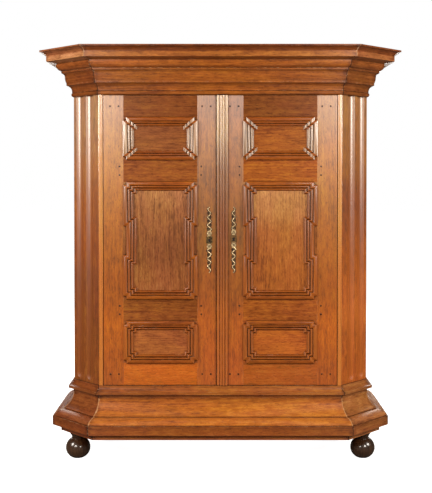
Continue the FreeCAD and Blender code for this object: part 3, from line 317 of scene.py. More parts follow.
tree, given, made = new_group("Mitre lines", ["Seed"], ["Line", "Chips", "Smudge"])
spot = add(tree, "TexCoord").outputs["Object"]
apart = split(tree, spot)
folded = vector(tree, calc(tree, "ABSOLUTE", apart["X"]), apart["Y"])
gaps = []
for corner, normal in ((front_corner, (math.cos(HALF_TURN), math.sin(HALF_TURN), 0)),
                       (side_corner, (math.sin(HALF_TURN), math.cos(HALF_TURN), 0))):
    offset = arrow(tree, "SUBTRACT", folded, corner)
    gaps.append(calc(tree, "ABSOLUTE", arrow(tree, "DOT_PRODUCT", offset, normal)))
gap = calc(tree, "MINIMUM", *gaps)
chipped = noise(tree, arrow(tree, "ADD", spot, vector(tree, given["Seed"])), 95, 2)
chips = calc(tree, "MULTIPLY", fade(tree, gap, *CHIP_EDGES, 1.0, 0.0),
             fade(tree, chipped, 0.58, 0.64))
smudge = calc(tree, "MULTIPLY", fade(tree, gap, *SMUDGE_EDGES, 1.0, 0.0),
              fade(tree, noise(tree, spot, 34, 3), 0.36, 0.60))
mitre_lines = give(tree, made, Line=fade(tree, gap, *LINE_EDGES, 1.0, 0.0), Chips=chips,
                   Smudge=smudge)

# %% [markdown]
# ## Boards side by side
# The back is nailed up from upright boards, and the top from boards that lie side by side. Each
# board was cut from another part of the tree, so its figure starts elsewhere and its tone differs,
# and between two boards there is a dark joint. The number of the board comes from the spot's place
# across the boards.

# %% Group: board joints
JOINT_EDGES = (0.0008, 0.0030)

tree, given, made = new_group("Board joints", ["Across", "Board width"],
                              ["Number", "Shade", "Joint"])
counted = calc(tree, "DIVIDE", given["Across"], given["Board width"])
number = calc(tree, "FLOOR", counted)
shade = add(tree, "TexWhiteNoise", {"W": number}, noise_dimensions="1D").outputs["Value"]
from_joint = calc(tree, "MULTIPLY", calc(tree, "PINGPONG", counted, 0.5), given["Board width"])
board_joints = give(tree, made, Number=number, Shade=shade,
                    Joint=fade(tree, from_joint, *JOINT_EDGES, 1.0, 0.0))

# %% [markdown]
# ## Polished wood
# The finish is the same on every board that shows: wood stained by age, under an old glossy polish.
# Polish gives a clear coat with sharp reflections, and the wood below gives a broad sheen that
# spreads across the grain. A tint can pass from stop to stop with the height: pale tints paint the
# lamps' sheen high on the boards, and other tints change the tone at other heights. A tint says how
# much red, green and blue to keep. A board's tones, its grain's direction and its seed make the
# rest of the difference.

# %% Marks of age, and a painted highlight
# Each mark has its strength, the way it is mixed in, and its paint or tint.
MARKS = {
    "Cloud": (0.9, "MULTIPLY", (0.97, 1.07, 0.84, 1)),
    "Shade": (1.0, "MULTIPLY", (0.62, 0.58, 0.54, 1)),
    "Joint": (0.8, "MIX", paint("1c0c05")),
    "Pores": (0.4, "MIX", paint("2a0e06")),
    "Flecks": (0.6, "MULTIPLY", (0.42, 0.36, 0.34, 1)),
    # Pale arrises: wear, and painted highlight on the fillets and corners.
    "Worn": (1.0, "MIX", paint("c99a72")),
    "Smudge": (0.75, "MULTIPLY", (0.45, 0.36, 0.34, 1)),
    "Chips": (0.8, "MIX", paint("d9b08a")),
}


def marked(tree, colour, masks, *marks):
    """The colour with marks: each a paint or a tint, laid on where the group's mask is white."""
    for mark in marks:
        strength, mode, look = MARKS[mark]
        colour = blend(tree, calc(tree, "MULTIPLY", masks[mark], strength), colour, look, mode)
    return colour


def tint_by_height(tree, height, stops):
    """A colour to multiply with, which passes through the tints at their heights."""
    (low, *tint), *others = stops
    colour = (*tint, 1)
    for high, *tint in others:
        colour = blend(tree, fade(tree, height, low, high), colour, (*tint, 1))
        low = high
    return colour


print(len(MARKS), "marks of age")

# %% Polished wood
POLISH_IOR = 1.9
TONE_ROUGH = 0.06
EDGE_WIDTH = 0.0025
DIRT_REACH = 0.013
# One paint for recesses: dirt and painted shade together.
DIRT_PAINT = paint("240702")
DIRT_ROUGH = 0.25
BOARD_SEED = 1.7
MITRE_STRENGTH = 0.85
MITRE_ROUGH = 0.4


def polished_wood(name, tones, upright, seed, gloss=0.2, reflect=0.3, spread=0.9, rough=0.45,
                  wear=0.5, dirty=0.9, coat_rough=0.25, turned_tints=None, stops=None,
                  gloss_heights=None, mitre_tone=None, board_width=None):
    """A wood finish from its dark, middle and light tones.

    The side lighting tints paint light and shade on faces that look to the left and to the right.
    The stops are heights, each with the tint that is whole there; pale tints high up paint the
    lamps' sheen. The gloss heights say where the polish starts and ends to change, and how much of
    it there is at each.
    """
    material, tree, shader = new_material(name)
    grain = use(tree, grain_frame, Upright=float(upright))
    edges = use(tree, edge_wear, Width=EDGE_WIDTH, Amount=wear)
    corners = use(tree, dirt, Reach=DIRT_REACH)
    if board_width:
        apart = split(tree, add(tree, "TexCoord").outputs["Object"])
        joined = use(tree, board_joints, Across=apart["X" if upright else "Y"],
                     Board_width=board_width)
        seed = calc(tree, "MULTIPLY_ADD", joined["Number"], BOARD_SEED, seed)
    wood = use(tree, figure, Place=grain["Place"], Seed=seed)
    dark, middle, light = (paint(tone) for tone in tones.split())
    colour = blend(tree, fade(tree, wood["Tone"], 0.0, 0.5), dark, middle)
    colour = blend(tree, fade(tree, wood["Tone"], 0.5, 1.0), colour, light)
    colour = marked(tree, colour, wood, "Cloud")
    if turned_tints:
        # Painted light and shade on the faces that look to each side.
        for way, tint in zip(("Turned left", "Turned right"), turned_tints):
            colour = blend(tree, grain[way], colour, (*tint, 1), "MULTIPLY")
    if board_width:
        colour = marked(tree, colour, joined, "Shade", "Joint")
    # The stops paint the lamps' sheen high up, and change the tone at other heights.
    if stops:
        tint = tint_by_height(tree, grain["Height"], stops)
        colour = blend(tree, 1.0, colour, tint, "MULTIPLY")
    colour = marked(tree, colour, wood, "Pores", "Flecks")
    # Recesses darkened: dirt, and painted shade.
    colour = blend(tree, calc(tree, "MULTIPLY", corners["Dirt"], dirty), colour, DIRT_PAINT)
    # Pale arrises: wear, and painted highlight.
    colour = marked(tree, colour, edges, "Worn")
    satin = calc(tree, "MULTIPLY_ADD", wood["Tone"], -TONE_ROUGH, rough + TONE_ROUGH / 2)
    satin = calc(tree, "MULTIPLY_ADD", corners["Dirt"], DIRT_ROUGH, satin)
    dull = corners["Dirt"]
    if mitre_tone:
        mitres = use(tree, mitre_lines, Seed=seed)
        colour = marked(tree, colour, mitres, "Smudge", "Chips")
        colour = blend(tree, calc(tree, "MULTIPLY", mitres["Line"], MITRE_STRENGTH), colour,
                       paint(mitre_tone))
        satin = calc(tree, "MULTIPLY_ADD", mitres["Line"], MITRE_ROUGH, satin)
        dull = calc(tree, "MAXIMUM", dull, mitres["Line"])
    if gloss:
        coat = calc(tree, "MULTIPLY", calc(tree, "SUBTRACT", 1, dull), gloss)
        if gloss_heights:
            coat = calc(tree, "MULTIPLY", coat, fade(tree, grain["Height"], *gloss_heights))
        feed(tree, shader, {"Coat Weight": coat})
    level_line = add(tree, "Tangent", direction_type="RADIAL", axis="Z").outputs[0]
    bump = add(tree, "Bump", {"Strength": 0.6, "Distance": 1.0, "Height": wood["Height"],
                              "Normal": edges["Rounded"]}).outputs[0]
    feed(tree, shader, {"Base Color": colour, "Roughness": satin, "Coat Roughness": coat_rough,
                        "Coat IOR": POLISH_IOR, "Specular IOR Level": reflect,
                        "Anisotropic": spread, "Anisotropic Rotation": 0.0 if upright else 0.25,
                        "Tangent": level_line, "Normal": bump})
    return material


print("polish with an index of", POLISH_IOR)

# %% [markdown]
# ## A wood for each piece
# The inside is plain, dry wood, and every board gets it first, since the empty word is part of
# every name. Each wood after that goes on the boards whose names hold one of its words, and takes
# the place of the first. A wood is three tones, dark, middle and light, its grain's way and its
# seed, with the few looks in which it differs from the others.

# %% Wood on the inside
LEVEL = False
UPRIGHT = True
BACK_BOARDS = 6
TOP_BOARD_WIDTH = 0.150
INSIDE_TONES = "6b3519 97592f b47748"
EVERY_NAME = ""


def put_on(finish, words):
    """Give the finish to each board whose name holds one of the words."""
    for name, board in boards.items():
        if any(word in name for word in words):
            for holder in board.material_slots:
                holder.material = finish


def stain(name, tones, way, seed, *words, **looks):
    """Mix a wood and put it on each board whose name holds one of the words."""
    wood = polished_wood(f"{name} wood", tones, way, seed, **looks)
    put_on(wood, words)
    return wood


low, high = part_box("back_boards")
back_board_width = (high.x - low.x) / BACK_BOARDS
stain("inside", INSIDE_TONES, UPRIGHT, 29, EVERY_NAME, gloss=0.05, wear=0.1)
stain("back board", INSIDE_TONES, UPRIGHT, 26, "back_boards", gloss=0, wear=0.1,
      reflect=0.15, rough=0.7, board_width=back_board_width)
stain("flat board", INSIDE_TONES, LEVEL, 27, "cornice_top", "top_board", "bottom_board",
      "shelves", gloss=0, wear=0.1, reflect=0.1, rough=0.8, board_width=TOP_BOARD_WIDTH)
print(len(boards), "boards have their first finish")
print("a back board is", round(back_board_width, 3), "m wide")

# %% [markdown]
# ## The doors' woods
# The doors' frames are orange below and paler above, where the tint paints the lamps' sheen, and
# the inner stiles are darker at the height of the keys. A stop in these lists is a height in metres
# and the tint that is whole there. Each rail and panel comes from its own board, so the two doors
# don't match.

# %% Wood on the stiles and rails
# Where these tints lift green and blue on the upper stiles, they paint the lamps' sheen.
OUTER_STILE_STOPS = ((0.54, 0.88, 0.87, 0.56), (0.70, 1.03, 1.10, 0.64),
                     (0.92, 0.79, 0.92, 1.0), (1.10, 0.83, 1.12, 1.22),
                     (1.60, 0.92, 1.45, 1.45), (1.85, 0.78, 1.22, 1.20))
INNER_STILE_STOPS = ((0.54, 0.92, 0.90, 0.80), (0.70, 0.95, 1.02, 0.88),
                     (0.96, 0.70, 0.87, 1.30), (1.16, 0.57, 0.88, 1.40),
                     (1.45, 0.72, 1.05, 1.30), (1.74, 0.77, 1.12, 1.16),
                     (1.86, 0.62, 0.85, 0.82))

stain("outer stile", "96450d be5b14 ce6b1a", UPRIGHT, 1, "hinge_stile", gloss=0.4, reflect=0.9,
      dirty=0.25, stops=OUTER_STILE_STOPS)
stain("inner stile", "96450d be5b14 ce6b1a", UPRIGHT, 15, "meeting_stile", gloss=0.4,
      reflect=0.9, dirty=0.5, stops=INNER_STILE_STOPS)
stain("left bottom rail", "9c5313 c35f17 d37023", LEVEL, 3, "left_bottom_rail")
stain("right bottom rail", "8a4a14 ad5418 bb6425", LEVEL, 21, "right_bottom_rail")
stain("left rail", "6c310f 8e4b1e a45f24", LEVEL, 2, "left_lower", "left_upper", reflect=0.15)
stain("right rail", "7a370f a1531f b96925", LEVEL, 22, "right_lower", "right_upper", reflect=0.15)
stain("top rail", "622f0c 81431a 935520", LEVEL, 14, "top_rail", reflect=0.1)
print(len(bpy.data.materials), "finishes so far")

# %% Wood on the panels
# The last, pale and bluer tints of the centre panels paint the lamps' sheen at their tops.
LEFT_PANEL_STOPS = ((0.95, 1.0, 1.0, 1.2), (1.10, 0.8, 0.8, 0.95), (1.30, 1.05, 1.15, 1.4),
                    (1.42, 1.3, 1.57, 2.1))
RIGHT_PANEL_STOPS = ((1.00, 0.95, 0.87, 0.85), (1.20, 0.92, 0.9, 0.95),
                     (1.34, 1.08, 1.36, 2.2), (1.42, 1.2, 1.6, 2.8))
LEFT_SMALL_STOPS = ((0.6, 1.5, 1.4, 1.6), (1.2, 1, 1, 1))
RIGHT_SMALL_STOPS = ((0.6, 1.3, 1.1, 1.3), (1.2, 1, 1, 1))

stain("left panel", "6e3918 98562a ad6d38", UPRIGHT, 5, "left_centre_panel",
      stops=LEFT_PANEL_STOPS)
stain("right panel", "7e4117 ac6127 c37836", UPRIGHT, 4, "right_centre_panel", reflect=0.45,
      stops=RIGHT_PANEL_STOPS)
stain("left small panel", "6a3517 8a4d25 9e5d2b", LEVEL, 7, "left_small_panels", reflect=0.15,
      stops=LEFT_SMALL_STOPS)
stain("right small panel", "793a14 9d551e b16624", LEVEL, 6, "right_small_panels", reflect=0.15,
      stops=RIGHT_SMALL_STOPS)
print(len(bpy.data.materials), "finishes so far")

# %% Wood of the sticks, the strip and the pegs
# The last tints of both lists, pale and far bluer, paint the lamps' sheen and highlights.
UPRIGHT_STICK_STOPS = ((0.75, 1.3, 1.3, 1.3), (1.15, 1.12, 1.13, 0.9), (1.35, 1.0, 1.1, 0.9),
                       (1.48, 1.0, 1.15, 1.1), (1.66, 1.25, 2.3, 7.0))
UPRIGHT_STICK_GLOSS = (1.42, 1.66, 0.15, 1.0)
STRIP_STOPS = ((0.75, 1.18, 1.05, 0.18), (1.0, 0.76, 0.70, 0.18), (1.25, 0.62, 0.58, 0.15),
               (1.5, 0.70, 0.85, 0.9), (1.8, 1.15, 2.2, 7.0))

level_stick_wood = stain("level stick", "6f340d 984b14 b05e1b", LEVEL, 8, reflect=0.12,
                         spread=0.4, dirty=0.6)
upright_stick_wood = stain("upright stick", "6c340c 944a12 a85a18", UPRIGHT, 10, gloss=0.9,
                           reflect=0.9, dirty=0.55, coat_rough=0.3, stops=UPRIGHT_STICK_STOPS,
                           gloss_heights=UPRIGHT_STICK_GLOSS)
strip_wood = stain("strip", "7d3b10 ad5818 ca771e", UPRIGHT, 13, "astragal", gloss=1, spread=0,
                   dirty=0.4, stops=STRIP_STOPS)
peg_wood = stain("peg", "200c06 3c1a0c 542810", UPRIGHT, 43, "pegs")
print(len(bpy.data.materials), "finishes so far")

# %% [markdown]
# ## The case's woods
# The fluted corner boards have lost their polish near the floor and keep all of it from the middle
# up, where pale tints paint the lamps' highlights in the flutes. The mouldings of the cornice and
# base run round the case in mitred lengths, so they share one recipe: pale arrises for wear and
# highlight, the marks of their mitres, and tints that paint light and shade on the lengths that
# look to each side. Their mitres are dark lines, but on the corona and the cove open joints show
# pale wood.

# %% Wood on the sides, corner boards and posts
# From about 1.5 m up, the pale and bluer tints paint the lamps' highlights in the flutes.
LEFT_CANT_STOPS = ((0.60, 0.77, 0.78, 1.5), (0.95, 0.69, 0.64, 1.1), (1.15, 0.84, 0.70, 0.3),
                   (1.35, 0.93, 0.85, 0.15), (1.55, 1.0, 1.2, 2.0), (1.66, 1.05, 1.6, 4.8),
                   (1.78, 1.12, 1.85, 7.0))
RIGHT_CANT_STOPS = ((0.54, 1.0, 1.0, 2.2), (0.80, 1.13, 1.15, 2.6), (1.10, 0.86, 0.79, 0.35),
                    (1.35, 0.61, 0.54, 0.08), (1.60, 0.68, 0.86, 0.8), (1.85, 0.74, 1.08, 1.8))
CANT_LOOKS = {"gloss": 1, "spread": 0, "coat_rough": 0.33, "gloss_heights": (0.5, 1.3, 0.0, 1.0)}
# The post's tint grows paler upwards: a painted sheen on its bead.
POST_STOPS = ((1.0, 1.08, 0.98, 0.65), (1.3, 1.15, 1.35, 1.0))

stain("side", "6c3414 8c4620 a45c2c", UPRIGHT, 23, "side_frame", "side_panels")
stain("left corner board", "773e0e 9c4f16 b4691d", UPRIGHT, 9, "left_corner",
      stops=LEFT_CANT_STOPS, **CANT_LOOKS)
stain("right corner board", "854310 b65c14 cf721d", UPRIGHT, 12, "right_corner",
      stops=RIGHT_CANT_STOPS, **CANT_LOOKS)
stain("post", "984c09 c67117 da8622", UPRIGHT, 11, "post", gloss=1, reflect=0.5, spread=0.3,
      dirty=0.4, stops=POST_STOPS)
print(len(bpy.data.materials), "finishes so far")

# %% Wood on the cornice
DARK_MITRE = "1e0a04"
# The side lighting tints paint light and shade on the lengths that look left and right.
CORNICE_TURNED = ((0.65, 0.62, 1.1), (0.73, 0.79, 1.5))
LIP_TURNED = ((1.22, 1.65, 4.2), (0.95, 1.05, 1.9))
# The corona's stops darken its top edge: painted shade.
CORONA_STOPS = ((2.124, 1, 1, 1), (2.134, 0.6, 0.45, 0.36))


def stain_run(name, tones, seed, words, turned_tints, mitre_tone=DARK_MITRE, **looks):
    """Mix and put on the wood of a moulding that runs round the case in mitred lengths."""
    stain(name, tones, LEVEL, seed, *words, wear=0.9, turned_tints=turned_tints,
          mitre_tone=mitre_tone, **looks)


stain_run("cornice", "6f340d 944e18 ae6121", 17, ["architrave", "frieze"], CORNICE_TURNED)
stain_run("bed moulding", "7c3b0e a4561c c06c27", 18, ["cornice_bed"], CORNICE_TURNED)
stain_run("corona", "7c3e16 a65e26 bf7334", 16, ["corona"], LIP_TURNED, "b08460",
          stops=CORONA_STOPS)
print(len(bpy.data.materials), "finishes so far")

# %% Wood on the base and feet
# The side lighting tints paint light and shade on the lengths that look left and right.
BASE_TURNED = ((0.72, 0.65, 0.90), (1.08, 1.32, 2.2))
COVE_TURNED = ((0.58, 0.53, 1.13), (0.88, 1.10, 2.5))
# The plinth's stops lighten its foot: painted light over the shade where the sub-base steps in.
PLINTH_STOPS = ((0.19, 1.35, 1.35, 1.45), (0.245, 1.0, 1.0, 1.0))

stain_run("waist", "763912 9b521e b0672a", 19, ["waist"], BASE_TURNED)
stain_run("cove", "854214 b36120 cc7a2e", 20, ["base_cove", "base_roll"], COVE_TURNED, "c08c5c",
          gloss=0.12)
stain_run("plinth", "652e0e 844216 985420", 24, ["plinth"], BASE_TURNED, gloss=0.1, dirty=0.55,
          stops=PLINTH_STOPS)
stain_run("sub-base", "8a4317 ac5a24 c47032", 25, ["sub_base"], BASE_TURNED, dirty=0.25)
foot_wood = stain("foot", "200f08 402615 5e3c24", UPRIGHT, 31, "front_feet", gloss=0.8,
                  reflect=0.1, spread=0, coat_rough=0.22)
print(len(bpy.data.materials), "finishes so far")

# %% [markdown]
# ## Old brass and iron
# Brass that is wiped but never polished keeps its shine where hands and cloths reach and goes brown
# and dull in its corners. Two noises make the tarnish: a coarse one for stains and a fine one for
# the specks of lacquer that is left. Iron is the same finish with black scale for its tarnish. The
# dark sheet round the brass is the same again without its shine: old wax, and painted shadow along
# the strokes' edges and behind the piercings.

# %% Old metal
SPECK_SHARE = 0.35
METAL_REACH = 0.004
METAL_EDGE = 0.0006


def old_metal(name, bright, dull, seed, metallic=0.6, rough=0.34, stained=0.5):
    """A worn metal: bright where it is rubbed, dull in stains and corners."""
    material, tree, shader = new_material(name)
    place = arrow(tree, "ADD", add(tree, "TexCoord").outputs["Object"], (seed, 0, seed))
    stains = noise(tree, place, 110, 4, 0.6)
    specks = noise(tree, place, 700, 2)
    corners = use(tree, dirt, Reach=METAL_REACH)
    edges = use(tree, edge_wear, Width=METAL_EDGE, Amount=0.8)
    stains = calc(tree, "MULTIPLY", stains, 1 - SPECK_SHARE)
    stains = calc(tree, "MULTIPLY_ADD", specks, SPECK_SHARE, stains)
    tarnish = fade(tree, stains, 0.66 - 0.3 * stained, 0.86 - 0.3 * stained)
    tarnish = calc(tree, "MAXIMUM", tarnish, calc(tree, "MULTIPLY", corners["Dirt"], 0.9))
    colour = blend(tree, tarnish, paint(bright), paint(dull))
    colour = blend(tree, edges["Worn"], colour, paint(bright))
    satin = calc(tree, "MULTIPLY_ADD", tarnish, 0.3, rough)
    bump = add(tree, "Bump", {"Strength": 0.4, "Distance": 0.0004, "Height": specks,
                              "Normal": edges["Rounded"]}).outputs[0]
    feed(tree, shader, {"Base Color": colour, "Roughness": satin, "Metallic": metallic,
                        "Normal": bump})
    return material


vine_brass = old_metal("vine brass", "f9d8a4", "5e3e1e", 37, rough=0.26, stained=0.45)
left_plate_brass = old_metal("left plate brass", "9a7c48", "33220f", 38, stained=1.0)
right_plate_brass = old_metal("right plate brass", "86643c", "2e1c0e", 39, stained=0.75)
# The dark sheet under the brass: old wax, and painted shadow.
old_wax = old_metal("old wax", "1c0d06", "060302", 45, metallic=0.0, rough=0.75)
iron = old_metal("iron", "5c5450", "241e1a", 41, metallic=0.8, rough=0.45)
put_on(vine_brass, ["escutcheon"])
put_on(iron, ["bolt", "lock", "pins"])
print(len(bpy.data.materials), "finishes in all")

# %% [markdown]
# ## Turned feet
# A ball foot is turned on a lathe from one block: the ball, a thin neck and a collar under the
# base. A lathe makes a shape by spinning a profile, and so does this cell: it lists the profile
# from the sole upwards and sets it round the foot's axis. The ball's arc is finer than a drawing
# program's facets, so the feet look round from near by.

# %% Helpers for shapes
def arc(start, end, bow, steps):
    """Points from start to end, bulging to the right of the way by the bow, or left if below 0."""
    start, end = Vector(start), Vector(end)
    chord = end - start
    outward = Vector((chord.y, -chord.x)).normalized() * math.copysign(1, bow)
    bow = abs(bow)
    radius = (chord.length ** 2 / 4 + bow ** 2) / (2 * bow)
    half = math.asin(chord.length / 2 / radius)
    centre = (start + end) / 2 - outward * (radius - bow)
    turns = [-half + 2 * half * step / steps for step in range(steps + 1)]
    return [centre + outward * radius * math.cos(turn)
            + chord.normalized() * radius * math.sin(turn) for turn in turns]


def circle(count, start=0.0):
    """The cosine and sine of each of so many even turns."""
    turns = [start + 2 * math.pi * n / count for n in range(count)]
    return [(math.cos(turn), math.sin(turn)) for turn in turns]


def skin(shape, rings, smooth=True):
    """Add the faces between each ring of corners and the next, and return them."""
    patches = []
    for low, high in zip(rings, rings[1:]):
        for n in range(len(low)):
            m = (n + 1) % len(low)
            corners = dict.fromkeys((low[n], low[m], high[m], high[n]))
            patches.append(shape.faces.new(corners))
            patches[-1].smooth = smooth
    return patches


def finish_piece(name, shape, finishes, body, replaced, crease=40):
    """Turn the mesh into an object that rides on its body and stands for a CAD piece."""
    bmesh.ops.remove_doubles(shape, verts=shape.verts, dist=1e-6)
    bmesh.ops.recalc_face_normals(shape, faces=shape.faces)
    for edge in shape.edges:
        edge.smooth = len(edge.link_faces) == 2 and edge.calc_face_angle(0) < math.radians(crease)
    mesh = bpy.data.meshes.new(name)
    shape.to_mesh(mesh)
    shape.free()
    for finish in finishes:
        mesh.materials.append(finish)
    piece = bring_in(name, mesh)
    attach(piece, body)
    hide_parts(replaced)
    print(name, "has", len(mesh.polygons), "faces")


print("an arc's top is at", arc((0, 0), (0, 2), 0.5, 2)[1].to_tuple(3))

# %% Feet
FOOT_RADIUS = 0.065
FOOT_SECTIONS = 72


def spin(shape, profile, axis, sections):
    """Add the profile, a list of (radius, height), turned round the upright axis through x, y."""
    rings = []
    for radius, height in profile:
        if radius < 1e-6:
            rings.append([shape.verts.new((*axis, height))] * sections)
        else:
            rings.append([shape.verts.new((axis[0] + radius * s, axis[1] - radius * c, height))
                          for c, s in circle(sections)])
    skin(shape, rings)


ball = arc((0.030, 0.0), (0.031, 0.104), 0.0345, 28)
foot_profile = [(0, 0), *ball, (0.031, 0.1075), (0.0325, 0.1095), (0.0335, 0.1115),
                (0.0345, 0.116), (0.0375, 0.1215), (0.0405, 0.1245), (0.042, 0.128),
                (0.042, 0.1462), (0.0412, 0.149), (0, 0.149)]
low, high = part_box("front_feet")
foot_y = (low.y + high.y) / 2
feet = bmesh.new()
for foot_x in (low.x + FOOT_RADIUS, high.x - FOOT_RADIUS):
    spin(feet, foot_profile, (foot_x, foot_y), FOOT_SECTIONS)
finish_piece("turned_feet", feet, [foot_wood], "case", "front_feet")

# %% [markdown]
# ## Pierced brass key plates
# The key plates were sawn from sheet brass with a fret saw, filed and chased: a small plate with
# the keyhole, a pierced shield above and below it, and a vine that swings to and fro up to its tip,
# with a curl in each bend. The vine is drawn as a path and given a domed strip of metal along it,
# so each stroke has its own highlight. The plates and shields are flat outlines with holes in them,
# which a two-dimensional curve fills and thickens.

# %% A domed strip of brass
DOME = ((-0.5, 0.0), (-0.42, 0.55), (-0.2, 0.9), (0.0, 1.0), (0.2, 0.9), (0.42, 0.55), (0.5, 0.0))
LEAF_DEPTH = 0.42
# The dark rims and backing sheets are old wax, and painted shadow along and behind the brass.
WAX_RIM = 0.0056
WAX_THICKNESS = 0.0003


def smooth_path(corners, steps=6):
    """A path that passes through the corners in an even curve (Catmull and Rom's spline)."""
    ends = [corners[0], *corners, corners[-1]]
    path = []
    for a, b, c, d in zip(ends, ends[1:], ends[2:], ends[3:]):
        for step in range(steps):
            t = step / steps
            path.append(tuple(0.5 * (2 * b[i] + (c[i] - a[i]) * t
                                     + (2 * a[i] - 5 * b[i] + 4 * c[i] - d[i]) * t ** 2
                                     + (3 * b[i] - a[i] - 3 * c[i] + d[i]) * t ** 3)
                              for i in (0, 1)))
    return path + [corners[-1]]


def strip(shape, path, widths, face, rise, finish=0, leaves=0):
    """Add a domed strip on the wall at y = face, along the path of (x, z) points.

    Its width goes from the first to the second of the widths, and swells in that many leaves.
    """
    rings = []
    for n, (x, z) in enumerate(path):
        before, after = path[max(n - 1, 0)], path[min(n + 1, len(path) - 1)]
        way = Vector((after[0] - before[0], after[1] - before[1])).normalized()
        share = n / (len(path) - 1)
        width = widths[0] + (widths[1] - widths[0]) * share
        width *= 1 - LEAF_DEPTH * math.sin(math.pi * leaves * share) ** 2
        rings.append([shape.verts.new((x - way.y * width * u, face - rise * v,
                                       z + way.x * width * u)) for u, v in DOME])
    ends = [shape.faces.new(rings[0]), shape.faces.new(rings[-1])]
    for patch in ends + skin(shape, rings):
        patch.material_index = finish


def stroke(shape, path, widths, face, rise, finish=0, leaves=0):
    """A strip of brass on a dark rim: old wax along both its edges, and painted shadow there."""
    strip(shape, path, widths, face, rise, finish, leaves)
    rim = [width + WAX_RIM for width in widths]
    strip(shape, path, rim, face, WAX_THICKNESS, finish=1)


def button(shape, x, z, radius, face, rise, sides=14, rows=4):
    """Add a domed pin head on the wall at y = face."""
    rings = []
    for row in range(rows):
        lean = math.pi / 2 * row / rows
        reach = radius * math.cos(lean)
        rings.append([shape.verts.new((x + reach * c, face - rise * math.sin(lean),
                                       z + reach * s)) for c, s in circle(sides)])
    skin(shape, rings)
    shape.faces.new(rings[0])
    shape.faces.new(rings[-1]).smooth = True


print("a strip's section has", len(DOME), "corners")

# %% Sawn plates and their outlines
SAW_BEVEL = 0.0003


def sawn_plate(shape, x, z, outlines, face, thickness, finish=0):
    """Add a flat plate with holes: the first outline is its edge, the others are the holes."""
    drawing = bpy.data.curves.new("drawing", "CURVE")
    drawing.dimensions = "2D"
    drawing.fill_mode = "BOTH"
    drawing.bevel_depth = min(SAW_BEVEL, thickness / 4)
    drawing.extrude = thickness / 2 - drawing.bevel_depth
    for outline in outlines:
        line = drawing.splines.new("POLY")
        line.points.add(len(outline) - 1)
        for point, (u, v) in zip(line.points, outline):
            point.co = (u, v, 0, 1)
        line.use_cyclic_u = True
    pattern = bpy.data.objects.new("drawing", drawing)
    plate = bpy.data.meshes.new_from_object(pattern)
    bpy.data.objects.remove(pattern)
    plate.transform(Matrix.Translation((x, face - thickness / 2, z))
                    @ Matrix.Rotation(math.radians(90), 4, "X"))
    first = len(shape.faces)
    shape.from_mesh(plate)
    shape.faces.ensure_lookup_table()
    for sheet in shape.faces[first:]:
        sheet.material_index = finish
    bpy.data.meshes.remove(plate)


def ring_line(x, z, width, height, count=20):
    """An oval outline."""
    return [(x + width * c, z + height * s) for c, s in circle(count)]


def keyhole_line(eye=0.0068, slot=0.0050, drop=0.0125):
    """A round eye over a slot that widens a little."""
    opening = math.asin(slot / eye)
    turns = [math.pi * 1.5 + opening + (2 * math.pi - 2 * opening) * n / 16 for n in range(17)]
    line = [(eye * math.cos(turn), eye * math.sin(turn)) for turn in turns]
    return line + [(-slot * 1.25, -drop), (slot * 1.25, -drop)]


def notched_line(width, height, notch=0.0035):
    """A small plate whose corners are cut in, in round notches."""
    line = []
    for u, v, start in ((1, 1, 270), (-1, 1, 0), (-1, -1, 90), (1, -1, 180)):
        for n in range(6):
            turn = math.radians(start - 18 * n)
            line.append((u * width / 2 + notch * math.cos(turn),
                         v * height / 2 + notch * math.sin(turn)))
    return line


def lobed_line(width, height, lobes=6, depth=0.12, count=60):
    """A shield with lobes round its edge."""
    line = []
    for n, (c, s) in enumerate(circle(count)):
        reach = 1 + depth * math.cos(lobes * 2 * math.pi * n / count)
        line.append((width * reach * c, height * reach * s))
    return line


print("a keyhole's outline has", len(keyhole_line()), "corners")

# %% The vine
BEND_LENGTH = 0.0190
FIRST_SWING = 0.0100
SWING_LOSS = 0.0032
STEM_WIDTHS = (0.0061, 0.0042)
STEM_RISE = 0.0026
CURL_REACH = 0.95
CURL_WIDTHS = (0.0022, 0.0013)
CURL_RISE = 0.0012
CURL_POINTS = ((0.55, -0.30), (1.0, 0.02), (0.62, 0.26), (0.22, 0.12), (0.40, -0.04))


def vine(shape, x, foot, tip, hand, face):
    """A stem that swings from side to side, with a hooked curl across from each of its bends.

    The points of a curl are shares of the hook's reach to the side and of the bend's length.
    """
    up = math.copysign(1, tip - foot)
    bends = round(abs(tip - foot) / BEND_LENGTH)
    length = abs(tip - foot) / bends
    stem = [(x, foot)]
    for bend in range(bends):
        side = hand if bend % 2 == 0 else -hand
        swing = FIRST_SWING - SWING_LOSS * bend / bends
        middle = foot + up * length * (bend + 0.5)
        stem.append((x + side * swing, middle - up * 0.0012))
        stem.append((x - side * 0.0004, foot + up * length * (bend + 1)))
        if bend < bends - 1:
            hook = swing * CURL_REACH
            curl = [(x + side * 0.0010, middle - up * length * 0.42)]
            curl += [(x - side * hook * across, middle + up * length * along)
                     for across, along in CURL_POINTS]
            stroke(shape, smooth_path(curl, 5), CURL_WIDTHS, face, CURL_RISE, finish=2)
            button(shape, *curl[-1], 0.0011, face, 0.0013, 10, 3)
    stroke(shape, smooth_path(stem), STEM_WIDTHS, face, STEM_RISE, leaves=bends)
    button(shape, *stem[-1], 0.0026, face, 0.0022)


print("each bend is", BEND_LENGTH * 1000, "mm long")

# %% Two key plates
PLATE_WIDTH = 0.031
PLATE_HEIGHT = 0.040
SHIELD_WIDTH = 0.0118
SHIELD_HEIGHT = 0.027
SHIELD_HOLES = ((0, 0.0004, 0.0058, 0.0064, 18), (-0.0068, -0.0072, 0.0020, 0.0024, 12),
                (0.0068, -0.0072, 0.0020, 0.0024, 12))
BRASS_THICKNESS = 0.0016
PIN_PLACE = (0.0105, 0.0172)
CORNER_HOLE = (0.0102, 0.0105)
FOUR_WAYS = ((-1, 1), (1, 1), (-1, -1), (1, -1))
FOUR_HOLES = ((-1, 0.8), (1, 0.8), (-1, -0.8), (1, -0.8))
RIGHT_PLATE_LIFT = 0.006


